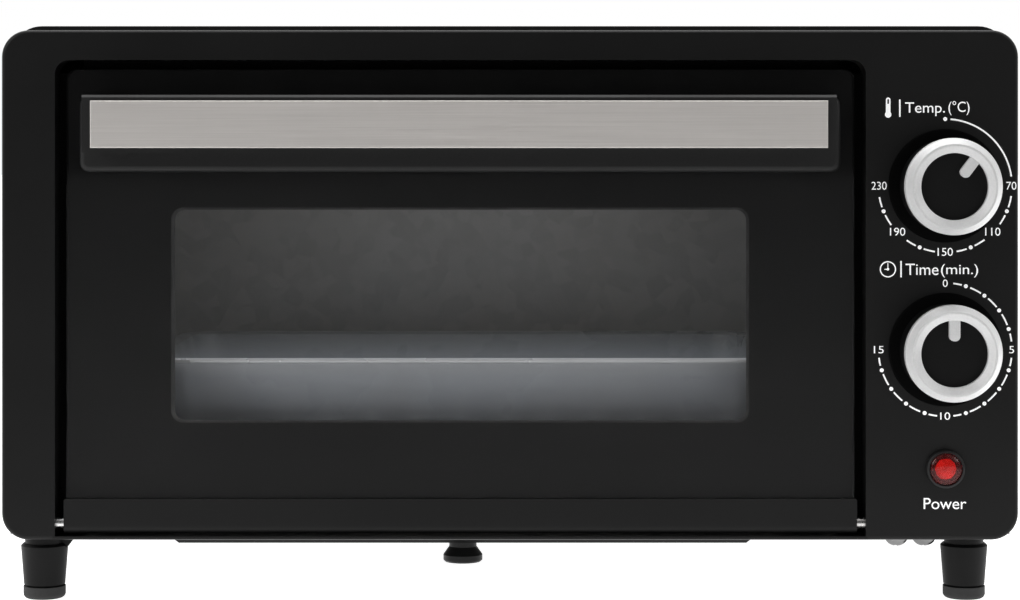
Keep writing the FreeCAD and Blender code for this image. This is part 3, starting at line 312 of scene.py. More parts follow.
def turned_silver(name, centre):
    """Silver-painted knob ring with rings left by the turning tool."""
    silver = Finish(name)
    from_centre = silver.moved(centre, (1.0, 0.0, 1.0))
    radius = silver.node("ShaderNodeVectorMath", {"operation": "LENGTH"},
                         {0: from_centre}, "Value")
    groove = silver.node("ShaderNodeMath", {"operation": "SINE"}, {0: radius * 15000.0})
    mist = silver.noise(1500.0, 3.0)
    cloud = silver.noise(60.0, 3.0)
    colour = silver.tint(silver.spread(mist * 0.5 + cloud * 0.5, 0.0, 1.0), grey(0.60), grey(0.72))
    return silver.principled({
        "Base Color": colour,
        "Metallic": silver.spread(cloud, 0.34, 0.44),
        "Roughness": silver.spread(mist, 0.46, 0.58),
        "Normal": silver.bump(groove * 0.35 + mist, 0.000010),
    })


def speckled_enamel():
    """Blue-grey vitreous enamel with pale specks, painted shade darkening the top of the inside back
    wall, a painted highlight under the front rim, and a front rim painted bright and faintly glowing as
    its highlight.
    """
    enamel = Finish("speckled_enamel")
    speck = enamel.cells(520.0)
    burnt = enamel.noise(28.0, 5.0)
    rise = enamel.along("Z")
    front = enamel.spread(enamel.along("Y"), 1.0, 0.0, TRAY_FRONT + 6 * MM, TRAY_FRONT + 14 * MM)
    # Painted highlight: the front rim is painted near white, metallic and faintly glowing where light
    # would catch it.
    wear_and_painted_highlight = enamel.spread(rise, 0.0, 1.0, TRAY_TOP - 2.0 * MM, TRAY_TOP - 1.1 * MM) * front
    # Painted shade: the inside back wall is darkened towards the top.
    painted_back_shade = enamel.spread(rise, 0.0, 1.0, TRAY_TOP - 17 * MM, TRAY_TOP) * (1 - front)
    # Painted highlight: a pale band on the front wall just under the rim.
    painted_wall_highlight = enamel.spread(rise, 0.0, 0.6, TRAY_TOP - 8.0 * MM, TRAY_TOP - 3.5 * MM) * front
    ground = enamel.tint(enamel.spread(burnt, 0.0, 1.0, 0.45, 0.8),
                         (0.70, 0.745, 0.81, 1.0), (0.64, 0.665, 0.70, 1.0))
    pale = 1 - (speck > 0.16)
    body = enamel.tint(pale * 0.5, ground, (0.78, 0.80, 0.82, 1.0))
    body = enamel.tint(painted_wall_highlight, body, (0.88, 0.90, 0.93, 1.0))
    body = enamel.tint(painted_back_shade, body, (0.14, 0.15, 0.15, 1.0))
    return enamel.principled({
        "Base Color": enamel.tint(wear_and_painted_highlight, body, (0.97, 0.98, 1.0, 1.0)),
        # The faint glow on the rim is painted light; the tray is no lamp.
        "Emission Color": enamel.tint(wear_and_painted_highlight, (0.0, 0.0, 0.0, 1.0), grey(0.9)),
        "Emission Strength": 0.08,
        "Metallic": wear_and_painted_highlight * 0.6,
        "Roughness": enamel.spread(burnt, 0.2, 0.4),
        "Normal": enamel.bump(enamel.noise(180.0, 3.0), 0.00003),
    })


def lens_red(name, colour, alpha_low, alpha_high, glow=0.0):
    """Clear red plastic, deeper where it is thick."""
    lens = Finish(name)
    depth = lens.noise(420.0, 2.0)
    sockets = {
        "Base Color": lens.tint(lens.spread(depth, 0.0, 1.0), colour,
                                tuple(0.6 * c for c in colour[:3]) + (1.0,)),
        "Roughness": lens.spread(depth, 0.04, 0.12),
        "Alpha": lens.spread(depth, alpha_low, alpha_high),
        "Normal": lens.bump(depth, 0.00001),
    }
    if glow:
        sockets["Emission Color"] = colour
        sockets["Emission Strength"] = glow
    return lens.principled(sockets)


def soft_rubber():
    """Foot rubber with a pale bloom."""
    rubber = Finish("soft_rubber")
    bloom = rubber.noise(45.0, 5.0)
    pores = rubber.noise(1600.0, 3.0)
    return rubber.principled({
        "Base Color": rubber.tint(rubber.spread(bloom, 0.0, 1.0), grey(0.014), grey(0.032)),
        "Roughness": rubber.spread(bloom, 0.7, 0.9),
        "Normal": rubber.bump(pores, 0.00003),
    })


def braided_sleeve():
    """Glass-braid sleeve over the silicone leads."""
    sleeve = Finish("braided_sleeve")
    over = sleeve.node("ShaderNodeTexWave", {"bands_direction": "DIAGONAL"},
                       {"Vector": sleeve.place, "Scale": 260.0, "Distortion": 1.5})
    return sleeve.principled({
        "Base Color": sleeve.tint(over, (0.62, 0.58, 0.5, 1.0), (0.36, 0.33, 0.28, 1.0)),
        "Roughness": sleeve.spread(over, 0.6, 0.8),
        "Normal": sleeve.bump(over, 0.00005),
    })


def screen_print():
    """White screen-printed ink, with a faint painted glow though it is no lamp."""
    ink = Finish("screen_print")
    cover = ink.noise(1400.0, 3.0)
    return ink.principled({
        "Base Color": ink.tint(ink.spread(cover, 0.0, 1.0), grey(0.82), grey(0.93)),
        "Roughness": ink.spread(cover, 0.4, 0.6),
        "Normal": ink.bump(cover, 0.000004),
        # Painted light: the ink glows faintly.
        "Emission Color": (1.0, 1.0, 1.0, 1.0),
        "Emission Strength": 0.3,
    })


SLOT_FINISHES = {
    "black_paint": satin_paint("satin_black_paint", 0.0055, 0.36, 0.5, 0.17),
    "cavity_steel": aluminised_sheet(),
    "zinc_steel": plated_steel("bright_zinc", 0.66, 0.2, 0.42, 0.04),
    "dark_steel": blackened_steel(),
    "heater_tube": heater_oxide(),
    "ceramic": chalky_ceramic("steatite", (0.72, 0.69, 0.62, 1.0), (0.58, 0.54, 0.47, 1.0)),
    "door_glass": oven_glass(),
    "black_plastic": moulded_plastic("grained_black_plastic", 0.009, 0.36, 0.52),
    "satin_plate": brushed_plate(),
    "rack_chrome": plated_steel("rack_chrome_plate", 0.74, 0.08, 0.2, 0.08),
    "tray_enamel": speckled_enamel(),
    "knob_black": moulded_plastic("knob_black_plastic", 0.004, 0.42, 0.55, 0.12, 0.000012),
    "red_lens": lens_red("red_lens_plastic", (0.12, 0.002, 0.003, 1.0), 0.34, 0.46),
    "control_body": chalky_ceramic("phenolic", (0.05, 0.035, 0.026, 1.0), (0.03, 0.022, 0.018, 1.0)),
    "rubber": soft_rubber(),
    "terminal_plastic": chalky_ceramic("nylon", (0.74, 0.7, 0.6, 1.0), (0.66, 0.61, 0.5, 1.0)),
    "lead_insulation": braided_sleeve(),
}
# The knob dishes are black plastic painted darker still than the panel: painted shade round the knobs.
DISH_PAINTED_SHADE = moulded_plastic("dish_painted_shade", 0.0010, 0.6, 0.75, 0.04)
FOOT_BLACK = moulded_plastic("foot_black", 0.005, 0.4, 0.55, 0.14)
NODE_FINISHES = {
    "temperature_knob_ring": turned_silver("turned_silver_upper", TEMPERATURE),
    "timer_knob_ring": turned_silver("turned_silver_lower", TIMER),
    "outer_cover": satin_paint("satin_cover_paint", 0.0075, 0.34, 0.46, 0.36),
    "temperature_dish": DISH_PAINTED_SHADE,
    "timer_dish": DISH_PAINTED_SHADE,
}
NODE_FINISHES.update((name, FOOT_BLACK) for name in nodes
                     if name.startswith("foot_") and name not in ("foot_pads", "foot_screws"))

for node_name, node in nodes.items():
    slot_name = node.data.materials[0].name.split(".")[0]
    node.data.materials[0] = NODE_FINISHES.get(node_name) or SLOT_FINISHES[slot_name]


# ------------------------------------------------------------------ mesh helpers

def finished(name, mesh, body, slot, finish=None, stands_for=()):
    """Links the mesh as a piece that rides on a body, in the given finish or else in its slot's finish.
    """
    piece = bpy.data.objects.new(name, mesh)
    bpy.context.scene.collection.objects.link(piece)
    mesh.materials.clear()
    mesh.materials.append(finish or SLOT_FINISHES[slot])
    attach(piece, body)
    if stands_for:
        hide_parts(*stands_for)
    return piece


def as_mesh(maker, transform=None):
    """The plain mesh of a text, curve or Geometry Nodes object, which is then removed."""
    graph = bpy.context.evaluated_depsgraph_get()
    mesh = bpy.data.meshes.new_from_object(maker.evaluated_get(graph))
    bpy.data.objects.remove(maker)
    if transform:
        mesh.transform(transform)
    return mesh


def joined(name, meshes):
    """Several meshes as one, with its doubles merged and its faces turned outwards."""
    work = bmesh.new()
    for mesh in meshes:
        work.from_mesh(mesh)
        bpy.data.meshes.remove(mesh)
    bmesh.ops.remove_doubles(work, verts=work.verts, dist=1e-7)
    bmesh.ops.recalc_face_normals(work, faces=work.faces)
    mesh = bpy.data.meshes.new(name)
    work.to_mesh(mesh)
    work.free()
    return mesh


def smoothed(mesh, angle=35.0):
    for face in mesh.polygons:
        face.use_smooth = True
    mesh.set_sharp_from_angle(angle=math.radians(angle))
    return mesh


def rounded_rectangle(left, right, low, high, corner, steps=8):
    """Corner arcs of a rounded rectangle, anticlockwise from the lower right."""
    points = []
    centres = ((right - corner, low + corner, -90), (right - corner, high - corner, 0),
               (left + corner, high - corner, 90), (left + corner, low + corner, 180))
    for x, z, start in centres:
        for step in range(steps + 1):
            turn = math.radians(start + 90 * step / steps)
            points.append((x + corner * math.cos(turn), z + corner * math.sin(turn)))
    return points


def circle(x, z, radius, steps=32):
    turns = [2 * math.pi * i / steps for i in range(steps)]
    return [(x + radius * math.cos(t), z + radius * math.sin(t)) for t in turns]


def flat_mesh(outlines, front, back):
    """A thin upright plate between two depths: the outlines in x and z, inner ones are holes."""
    curve = bpy.data.curves.new("plate", "CURVE")
    curve.dimensions = "2D"
    curve.fill_mode = "BOTH"
    curve.extrude = (back - front) / 2
    for outline in outlines:
        spline = curve.splines.new("POLY")
        spline.points.add(len(outline) - 1)
        for point, (x, z) in zip(spline.points, outline):
            point.co = (x, z, 0, 1)
        spline.use_cyclic_u = True
    maker = bpy.data.objects.new("plate", curve)
    bpy.context.scene.collection.objects.link(maker)
    return as_mesh(maker, Matrix.Translation((0, (front + back) / 2, 0)) @ UPRIGHT)


def lathe_mesh(name, profile, centre, steps=48, angle=35.0):
    """A closed turned piece about the Y axis: the profile is (radius, y), from axis to axis."""
    work = bmesh.new()
    rings = []
    for radius, y in profile:
        count = steps if radius > 1e-6 else 1
        rings.append([work.verts.new((centre.x + radius * math.cos(2 * math.pi * i / steps), y,
                                      centre.z + radius * math.sin(2 * math.pi * i / steps)))
                      for i in range(count)])
    for inner, outer in zip(rings, rings[1:]):
        for i in range(steps):
            j = (i + 1) % steps
            corners = [inner[i % len(inner)], inner[j % len(inner)],
                       outer[j % len(outer)], outer[i % len(outer)]]
            work.faces.new(list(dict.fromkeys(corners)))
    bmesh.ops.recalc_face_normals(work, faces=work.faces)
    mesh = bpy.data.meshes.new(name)
    work.to_mesh(mesh)
    work.free()
    return smoothed(mesh, angle)


def lofted_mesh(name, rings):
    """A closed shell through rings of (outline in x and y, z), capped at both ends."""
    work = bmesh.new()
    loops = [[work.verts.new((x, y, z)) for x, y in outline] for outline, z in rings]
    for lower, upper in zip(loops, loops[1:]):
        for i in range(len(lower)):
            j = (i + 1) % len(lower)
            work.faces.new((lower[i], lower[j], upper[j], upper[i]))
    work.faces.new(loops[0])
    work.faces.new(loops[-1])
    bmesh.ops.recalc_face_normals(work, faces=work.faces)
    mesh = bpy.data.meshes.new(name)
    work.to_mesh(mesh)
    work.free()
    return smoothed(mesh)


# ------------------------------------------------------------------ geometry nodes

class NodeBuild:
    """A Geometry Nodes tree with named inputs, built one node at a time."""

    KINDS = {"INT": "NodeSocketInt", "FLOAT": "NodeSocketFloat", "VECTOR": "NodeSocketVector",
             "MATERIAL": "NodeSocketMaterial", "BOOL": "NodeSocketBool"}

    def __init__(self, name, inputs):
        self.tree = bpy.data.node_groups.new(name, "GeometryNodeTree")
        self.tree.interface.new_socket("Geometry", in_out="INPUT", socket_type="NodeSocketGeometry")
        self.tree.interface.new_socket("Geometry", in_out="OUTPUT", socket_type="NodeSocketGeometry")
        self.keys = {}
        for label, kind in inputs.items():
            socket = self.tree.interface.new_socket(label, in_out="INPUT",
                                                    socket_type=self.KINDS[kind])
            self.keys[label] = socket.identifier
        self.entry = self.tree.nodes.new("NodeGroupInput")

    def given(self, label):
        return self.entry.outputs[label]

    def node(self, kind, settings=None, sockets=None, output=0):
        made = self.tree.nodes.new(kind)
        for name, setting in (settings or {}).items():
            setattr(made, name, setting)
        for key, entry in (sockets or {}).items():
            if isinstance(entry, bpy.types.NodeSocket):
                self.tree.links.new(entry, made.inputs[key])
            else:
                made.inputs[key].default_value = entry
        return made.outputs[output]

    def maths(self, operation, first, second=0.0):
        return self.node("ShaderNodeMath", {"operation": operation}, {0: first, 1: second})

    def finish(self, geometry):
        """Ends the tree with real geometry in the given material."""
        real = self.node("GeometryNodeRealizeInstances", None, {0: geometry})
        set_finish = self.node("GeometryNodeSetMaterial", None,
                               {"Geometry": real, "Material": self.given("Finish")})
        exit_node = self.tree.nodes.new("NodeGroupOutput")
        self.tree.links.new(set_finish, exit_node.inputs[0])

    def grown(self, values, host=None):
        """The mesh that the tree makes from these input values."""
        mesh = bpy.data.meshes.new("host")
        if host:
            mesh.from_pydata(host, [], [])
        maker = bpy.data.objects.new("host", mesh)
        bpy.context.scene.collection.objects.link(maker)
        modifier = maker.modifiers.new("build", "NODES")
        modifier.node_group = self.tree
        for label, entry in values.items():
            modifier[self.keys[label]] = entry
        return as_mesh(maker)


def dial_mark_tree():
    """Marks spaced round a dial face: dots, or short arcs where Sweep isn't zero."""
    build = NodeBuild("dial_marks", {
        "Radius": "FLOAT", "Width": "FLOAT", "Depth": "FLOAT", "Start": "FLOAT", "Step": "FLOAT",
        "Count": "INT", "Groups": "INT", "Group Step": "FLOAT", "Sweep": "FLOAT", "Dots": "BOOL",
        "Finish": "MATERIAL"})
    total = build.maths("MULTIPLY", build.given("Count"), build.given("Groups"))
    points = build.node("GeometryNodeMeshLine", None, {"Count": total, "Offset": (0, 0, 0)})
    index = build.node("GeometryNodeInputIndex")
    group = build.maths("FLOOR", build.maths("DIVIDE", index, build.given("Count")))
    within = build.maths("SUBTRACT", index, build.maths("MULTIPLY", group, build.given("Count")))
    turn = build.maths("ADD", build.given("Start"), build.maths(
        "ADD", build.maths("MULTIPLY", within, build.given("Step")),
        build.maths("MULTIPLY", group, build.given("Group Step"))))
    spin = build.node("ShaderNodeCombineXYZ", None, {"Z": build.maths("MULTIPLY", turn, -1.0)})

    dot = build.node("GeometryNodeMeshCylinder", None, {
        "Vertices": 24, "Radius": build.maths("MULTIPLY", build.given("Width"), 0.5),
        "Depth": build.given("Depth")})
    dot_place = build.node("ShaderNodeCombineXYZ", None, {"Y": build.given("Radius")})
    placed_dot = build.node("GeometryNodeTransform", None,
                            {"Geometry": dot, "Translation": dot_place})
    arc = build.node("GeometryNodeCurveArc", {"mode": "RADIUS"}, {
        "Resolution": 24, "Radius": build.given("Radius"),
        "Start Angle": build.maths("SUBTRACT", math.pi / 2, build.given("Sweep")),
        "Sweep Angle": build.given("Sweep")})
    section = build.node("GeometryNodeCurvePrimitiveQuadrilateral", {"mode": "RECTANGLE"}, {
        "Width": build.given("Width"), "Height": build.given("Depth")})
    dash = build.node("GeometryNodeCurveToMesh", None,
                      {"Curve": arc, "Profile Curve": section, "Fill Caps": True})
    mark = build.node("GeometryNodeSwitch", {"input_type": "GEOMETRY"},
                      {"Switch": build.given("Dots"), "False": dash, "True": placed_dot})
    marks = build.node("GeometryNodeInstanceOnPoints", None,
                       {"Points": points, "Instance": mark, "Rotation": spin})
    build.finish(marks)
    return build


def screw_head_tree():
    """Domed cross-recessed screw heads on the host's points, all turned one way."""
    build = NodeBuild("screw_heads", {
        "Radius": "FLOAT", "Height": "FLOAT", "Slot Width": "FLOAT", "Slot Depth": "FLOAT",
        "Turn": "VECTOR", "Finish": "MATERIAL"})
    ball = build.node("GeometryNodeMeshUVSphere", None,
                      {"Segments": 40, "Rings": 24, "Radius": build.given("Radius")})
    squash = build.maths("DIVIDE", build.given("Height"), build.given("Radius"))
    shape = build.node("ShaderNodeCombineXYZ", None, {"X": 1.0, "Y": 1.0, "Z": squash})
    dome = build.node("GeometryNodeTransform", None, {"Geometry": ball, "Scale": shape})
    reach = build.maths("MULTIPLY", build.given("Radius"), 3.0)
    block = build.node("ShaderNodeCombineXYZ", None, {"X": reach, "Y": reach, "Z": reach})
    under = build.node("GeometryNodeMeshCube", None, {"Size": block})
    drop = build.node("ShaderNodeCombineXYZ", None, {"Z": build.maths("MULTIPLY", reach, -0.5)})
    under = build.node("GeometryNodeTransform", None, {"Geometry": under, "Translation": drop})
    slot_length = build.maths("MULTIPLY", build.given("Radius"), 1.15)
    slot_size = build.node("ShaderNodeCombineXYZ", None, {
        "X": slot_length, "Y": build.given("Slot Width"),
        "Z": build.maths("MULTIPLY", build.given("Slot Depth"), 2.0)})
    slot = build.node("GeometryNodeMeshCube", None, {"Size": slot_size})
    lift = build.node("ShaderNodeCombineXYZ", None, {"Z": build.given("Height")})
    arms = [build.node("GeometryNodeTransform", None, {
        "Geometry": slot, "Translation": lift, "Rotation": (0, 0, math.radians(turn))})
        for turn in (20, 110)]
    cut = build.tree.nodes.new("GeometryNodeMeshBoolean")
    cut.operation = "DIFFERENCE"
    build.tree.links.new(dome, cut.inputs["Mesh 1"])
    for tool in (under, *arms):
        build.tree.links.new(tool, cut.inputs["Mesh 2"])
    heads = build.node("GeometryNodeInstanceOnPoints", None, {
        "Points": build.given("Geometry"), "Instance": cut.outputs["Mesh"],
        "Rotation": build.given("Turn")})
    build.finish(heads)
    return build


def grid_rod_tree():
    """Parallel rods spaced along X, with round ends, as a rack's wires are."""
    build = NodeBuild("grid_rods", {
        "Start": "VECTOR", "Length": "FLOAT", "Pitch": "FLOAT", "Count": "INT",
        "Radius": "FLOAT", "Finish": "MATERIAL"})
    pitch = build.node("ShaderNodeCombineXYZ", None, {"X": build.given("Pitch")})
    points = build.node("GeometryNodeMeshLine", None, {
        "Count": build.given("Count"), "Start Location": build.given("Start"), "Offset": pitch})
    run = build.node("ShaderNodeCombineXYZ", None, {"Y": build.given("Length")})
    line = build.node("GeometryNodeCurvePrimitiveLine", None, {"Start": (0, 0, 0), "End": run})
    section = build.node("GeometryNodeCurvePrimitiveCircle", None,
                         {"Resolution": 20, "Radius": build.given("Radius")})
    wire = build.node("GeometryNodeCurveToMesh", None,
                      {"Curve": line, "Profile Curve": section, "Fill Caps": True})
    rods = build.node("GeometryNodeInstanceOnPoints", None, {"Points": points, "Instance": wire})
    build.finish(rods)
    return build


# ------------------------------------------------------------------ printed front

INK = screen_print()
PRINT_PROUD = 0.03 * MM
PRINT_FRONT = PANEL_FRONT - PRINT_PROUD
PRINT_BACK = PANEL_FRONT + 0.02 * MM
VIEWING_WINDOW = (-127.2 * MM, 89.7 * MM, 67.7 * MM, 148.45 * MM)
WINDOW_CORNER = 4.5 * MM
MARK_RADIUS = 24.9 * MM
DOT_WIDTH, ARC_WIDTH = 1.5 * MM, 0.62 * MM


def words(text, height, width=None):
    """Text as an upright mesh with its baseline at z 0 and its left edge at x 0."""
    def letters(body):
        font = bpy.data.curves.new("lettering", "FONT")
        font.body = body
        font.size = 1.0
        font.extrude = 0.5
        maker = bpy.data.objects.new("lettering", font)
        bpy.context.scene.collection.objects.link(maker)
        return as_mesh(maker)

    capital = letters("T")
    tall = max(v.co.y for v in capital.vertices)
    bpy.data.meshes.remove(capital)
    mesh = letters(text)
    left = min(v.co.x for v in mesh.vertices)
    wide = max(v.co.x for v in mesh.vertices) - left
    across = width / wide if width else height / tall
    mesh.transform(Matrix.Translation((-left, 0, 0)))
    mesh.transform(Matrix.Diagonal((across, height / tall, PRINT_BACK - PRINT_FRONT, 1)))
    mesh.transform(UPRIGHT)
    return mesh


def printed(text, x, z, height, width, centred=False):
    """Ink letters on the panel, from x, or centred on it."""
    mesh = words(text, height, width)
    start = x - width / 2 if centred else x
    mesh.transform(Matrix.Translation((start, (PRINT_FRONT + PRINT_BACK) / 2, z)))
    return mesh


def inked(*outlines):
    """A flat ink shape on the panel."""
    return flat_mesh(outlines, PRINT_FRONT, PRINT_BACK)


def thermometer(x, z):
    """A bulb and stem, with the stem's top left open."""
    bulb, stem = 1.2 * MM, 0.85 * MM
    rise = math.acos(stem / bulb)
    top = z + 5.5 * MM
    around = [math.pi / 2 + (math.pi / 2 - rise) + 2 * (math.pi - (math.pi / 2 - rise)) * i / 24
              for i in range(25)]
    outer = [(x + bulb * math.cos(a), z + bulb * math.sin(a)) for a in around]
    outer += [(x + stem * math.cos(math.pi * i / 12), top + stem * math.sin(math.pi * i / 12))
              for i in range(13)]
    hollow = rounded_rectangle(x - 0.32 * MM, x + 0.32 * MM, top - 1.6 * MM, top + 0.3 * MM,
                               0.31 * MM)
    return inked(outer, hollow)


def clock(x, z):
    """A ring with two hands."""
    ring = inked(circle(x, z, 3.05 * MM), circle(x, z, 2.6 * MM))
    hub = inked(circle(x, z, 0.5 * MM, 16))
    minute = inked(rounded_rectangle(x - 0.16 * MM, x + 0.16 * MM, z, z + 2.3 * MM, 0.1 * MM))
    hour = inked(rounded_rectangle(x - 1.3 * MM, x, z - 0.16 * MM, z + 0.16 * MM, 0.1 * MM))
    return [ring, hub, minute, hour]


def bar(x, low, high):
    """The upright stroke between a sign and its caption."""
    return inked(rounded_rectangle(x - 0.28 * MM, x + 0.28 * MM, low, high, 0.1 * MM))


def dial_numbers(centre, radius, labels, height, digit):
    """Numbers centred on the scale, each (text, degrees clockwise from the top)."""
    meshes = []
    for text, degrees in labels:
        turn = math.radians(degrees)
        x = centre.x + radius * math.sin(turn)
        z = centre.z + radius * math.cos(turn) - height / 2
        meshes.append(printed(text, x, z, height, digit * len(text), centred=True))
    return meshes


def dial_marks(tree, centre, series):
    """Dots and arcs round a dial, each series (start, step, count, groups, group step, sweep)."""
    meshes = []
    for start, step, count, groups, group_step, sweep in series:
        mesh = tree.grown({
            "Radius": MARK_RADIUS, "Width": ARC_WIDTH if sweep else DOT_WIDTH,
            "Depth": PRINT_BACK - PRINT_FRONT,
            "Start": math.radians(start), "Step": math.radians(step), "Count": count,
            "Groups": groups, "Group Step": math.radians(group_step),
            "Sweep": math.radians(sweep), "Dots": not sweep, "Finish": INK})
        mesh.transform(Matrix.Translation(
            (centre.x, (PRINT_FRONT + PRINT_BACK) / 2, centre.z)) @ UPRIGHT)
        meshes.append(mesh)
    return meshes


def panel_print():
    """Everything inked on the control panel: scales, numbers, captions and small signs."""
    tree = dial_mark_tree()
    upper, lower = TEMPERATURE, TIMER
    marks = dial_marks(tree, upper, (
        (0, 0, 1, 1, 0, 0), (4.6, 0, 1, 1, 0, 77.5),
        (112.5, 45, 4, 1, 0, 0), (98.9, 45, 4, 1, 0, 10), (116.2, 45, 4, 1, 0, 9)))
    marks += dial_marks(tree, lower, (
        (18, 18, 4, 3, 90, 0), (22, 18, 3, 3, 90, 10.4),
        (7, 90, 3, 1, 0, 7.4), (76, 90, 3, 1, 0, 7)))
    numbers = dial_numbers(upper, 24.7 * MM, (
        ("70", 90), ("110", 134), ("150", 180), ("190", 226), ("230", 270)), 2.9 * MM, 1.9 * MM)
    numbers += dial_numbers(lower, 24.8 * MM, (
        ("0", 0), ("5", 90), ("10", 180), ("15", 270)), 2.7 * MM, 1.85 * MM)
    captions = [
        printed("Temp.", upper.x - 15.0 * MM, upper.z + 27.3 * MM, 3.85 * MM, 14.9 * MM),
        printed("(°C)", upper.x + 1.2 * MM, upper.z + 27.6 * MM, 3.75 * MM, 7.9 * MM),
        printed("Time", lower.x - 14.8 * MM, lower.z + 27.9 * MM, 4.2 * MM, 12.3 * MM),
        printed("(min.)", lower.x - 1.6 * MM, lower.z + 28.2 * MM, 3.7 * MM, 13.9 * MM),
        printed("Power", LAMP.x - 0.1 * MM, LAMP.z - 15.0 * MM, 4.1 * MM, 15.9 * MM, centred=True),
        thermometer(upper.x - 21.3 * MM, upper.z + 26.6 * MM),
        bar(upper.x - 16.95 * MM, upper.z + 25.7 * MM, upper.z + 32.2 * MM),
        bar(lower.x - 16.5 * MM, lower.z + 27.0 * MM, lower.z + 33.1 * MM),
        *clock(lower.x - 21.4 * MM, lower.z + 30.0 * MM),
    ]
    finished("panel_print", joined("panel_print", marks + numbers + captions),
             "case", "black_paint", INK)


def door_print():
    """The black border on the back of the glass, open round the viewing window."""
    low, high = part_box("door_glass")
    window = rounded_rectangle(*VIEWING_WINDOW, WINDOW_CORNER)
    edge = 0.25 * MM
    outer = rounded_rectangle(low.x + edge, high.x - edge, low.z + edge, high.z - edge, 3.5 * MM)
    mesh = flat_mesh((outer, window), high.y - 0.1 * MM, high.y - 0.03 * MM)
    finished("door_print", mesh, "door", "door_glass", glass_print())


# ------------------------------------------------------------------ lamp

def lamp():
    """A clear dome over a cut red jewel."""
    low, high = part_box("lamp_lens")
    radius = (high.x - low.x) / 2
    rise = high.y - low.y
    wall = 0.5 * MM
    skirt = high.y - 0.02 * MM
    steps = 10
    dome = []
    for i in range(steps + 1):
        turn = math.radians(90 * i / steps)
        dome.append((radius * math.sin(turn) ** 0.8,
                     high.y - rise + rise * 0.75 * (1 - math.cos(turn))))
    inner = [((radius - wall) * r / radius, y + wall) for r, y in reversed(dome)]
    profile = [*dome, (radius, skirt), (radius - wall, skirt)]
    profile += [(r, min(y, skirt)) for r, y in inner]
    centre = middle("lamp_lens")
    finished("lamp_dome", lathe_mesh("lamp_dome", profile, centre), "case", "red_lens",
             stands_for=("lamp_lens",))

    work = bmesh.new()
    bmesh.ops.create_icosphere(work, subdivisions=2, radius=1.0)
    spread = Matrix.Diagonal((4.0 * MM, 1.5 * MM, 4.0 * MM, 1))
    place = Matrix.Translation((centre.x, high.y - 0.2 * MM, centre.z))
    tilt = Matrix.Rotation(math.radians(25), 4, "Y")
    bmesh.ops.transform(work, matrix=place @ spread @ tilt, verts=work.verts)
    jewel = bpy.data.meshes.new("lamp_jewel")
    work.to_mesh(jewel)
    work.free()
    finish = lens_red("jewel_red", (0.85, 0.02, 0.014, 1.0), 1.0, 1.0, glow=0.9)
    finished("lamp_jewel", jewel, "case", "red_lens", finish)


# ------------------------------------------------------------------ tray and rack

def rolled_tray():
    """The pan: outside wall up, round the rolled edge, and the inside wall down."""
    low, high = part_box("baking_tray")
    rim, wall, corner = 5 * MM, 0.6 * MM, 14 * MM
    roll = 1.1 * MM

    def ring(inset, radius, z):
        return (rounded_rectangle(low.x + inset, high.x - inset, low.y + inset, high.y - inset,
                                  radius, 10), z)

    rings = [ring(rim + 9 * MM, 6 * MM, low.z), ring(rim + 4.9 * MM, 10 * MM, low.z + 0.2 * MM),
             ring(rim + 4 * MM, 11 * MM, low.z + 1.1 * MM),
             ring(rim + 0.5 * MM, corner, high.z - 3.2 * MM),
             ring(rim - 0.4 * MM, corner, high.z - 2.0 * MM),
             ring(rim - 1.6 * MM, corner + 1 * MM, high.z - roll - wall)]
    for i in range(11):
        turn = math.radians(200 - 290 * i / 10)
        rings.append(ring(roll * (1 + math.cos(turn)), corner + rim - roll,
                          high.z - roll - roll * math.sin(turn)))
    rings += [ring(rim - 1.0 * MM, corner + 0.6 * MM, high.z - 0.3 * MM),
              ring(rim + 0.5 * MM, corner - 0.4 * MM, high.z - 1.2 * MM),
              ring(rim + 1.3 * MM, corner - 0.8 * MM, high.z - 3.4 * MM),
              ring(rim + 4.8 * MM, 10.4 * MM, low.z + 3.0 * MM),
              ring(rim + 6.6 * MM, 8.6 * MM, low.z + 1.5 * MM),
              ring(rim + 9 * MM, 6 * MM, low.z + 0.8 * MM)]
    finished("rolled_tray", lofted_mesh("rolled_tray", rings), "rack", "tray_enamel",
             stands_for=("baking_tray",))


def oven_rack():
    """A bent perimeter rod with welded wires across it and two pull loops at the front."""
    low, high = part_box("wire_rack")
    rod, wire, count = 2 * MM, 1.25 * MM, 15
    finish = SLOT_FINISHES["rack_chrome"]
    hook = 10 * MM
    left, right = low.x + rod, high.x - rod
    front, back = low.y + hook, high.y - rod
    level = low.z + rod
    pitch = (right - left) / (count + 1)
    rods = grid_rod_tree().grown({
        "Start": (left + pitch, front, high.z - wire), "Length": back - front, "Pitch": pitch,
        "Count": count, "Radius": wire, "Finish": finish})

    def bent(points, radius, closed):
        curve = bpy.data.curves.new("bent_rod", "CURVE")
        curve.dimensions = "3D"
        curve.bevel_depth = radius
        curve.bevel_resolution = 5
        curve.use_fill_caps = True
        spline = curve.splines.new("POLY")
        spline.points.add(len(points) - 1)
        for point, place in zip(spline.points, points):
            point.co = (*place, 1)
        spline.use_cyclic_u = closed
        maker = bpy.data.objects.new("bent_rod", curve)
        bpy.context.scene.collection.objects.link(maker)
        return as_mesh(maker)

    around = rounded_rectangle(left, right, front, back, 9 * MM, 10)
    meshes = [rods, bent([(x, y, level) for x, y in around], rod, True)]
    for x in (left + 15 * MM, right - 15 * MM):
        half = 7 * MM
        loop = [(x - half, front, level), (x - half, front - 4 * MM, level)]
        loop += [(x - half + 4 * MM * (1 - math.cos(t)), front - 4 * MM - 4.7 * MM * math.sin(t), level)
                 for t in (math.radians(15 * i) for i in range(1, 7))]
        loop += [(2 * x - px, py, pz) for px, py, pz in reversed(loop)]
        meshes.append(bent(loop, wire, False))
    finished("oven_rack", smoothed(joined("oven_rack", meshes), 50), "rack", "rack_chrome",
             finish, stands_for=("wire_rack",))


# ------------------------------------------------------------------ screws

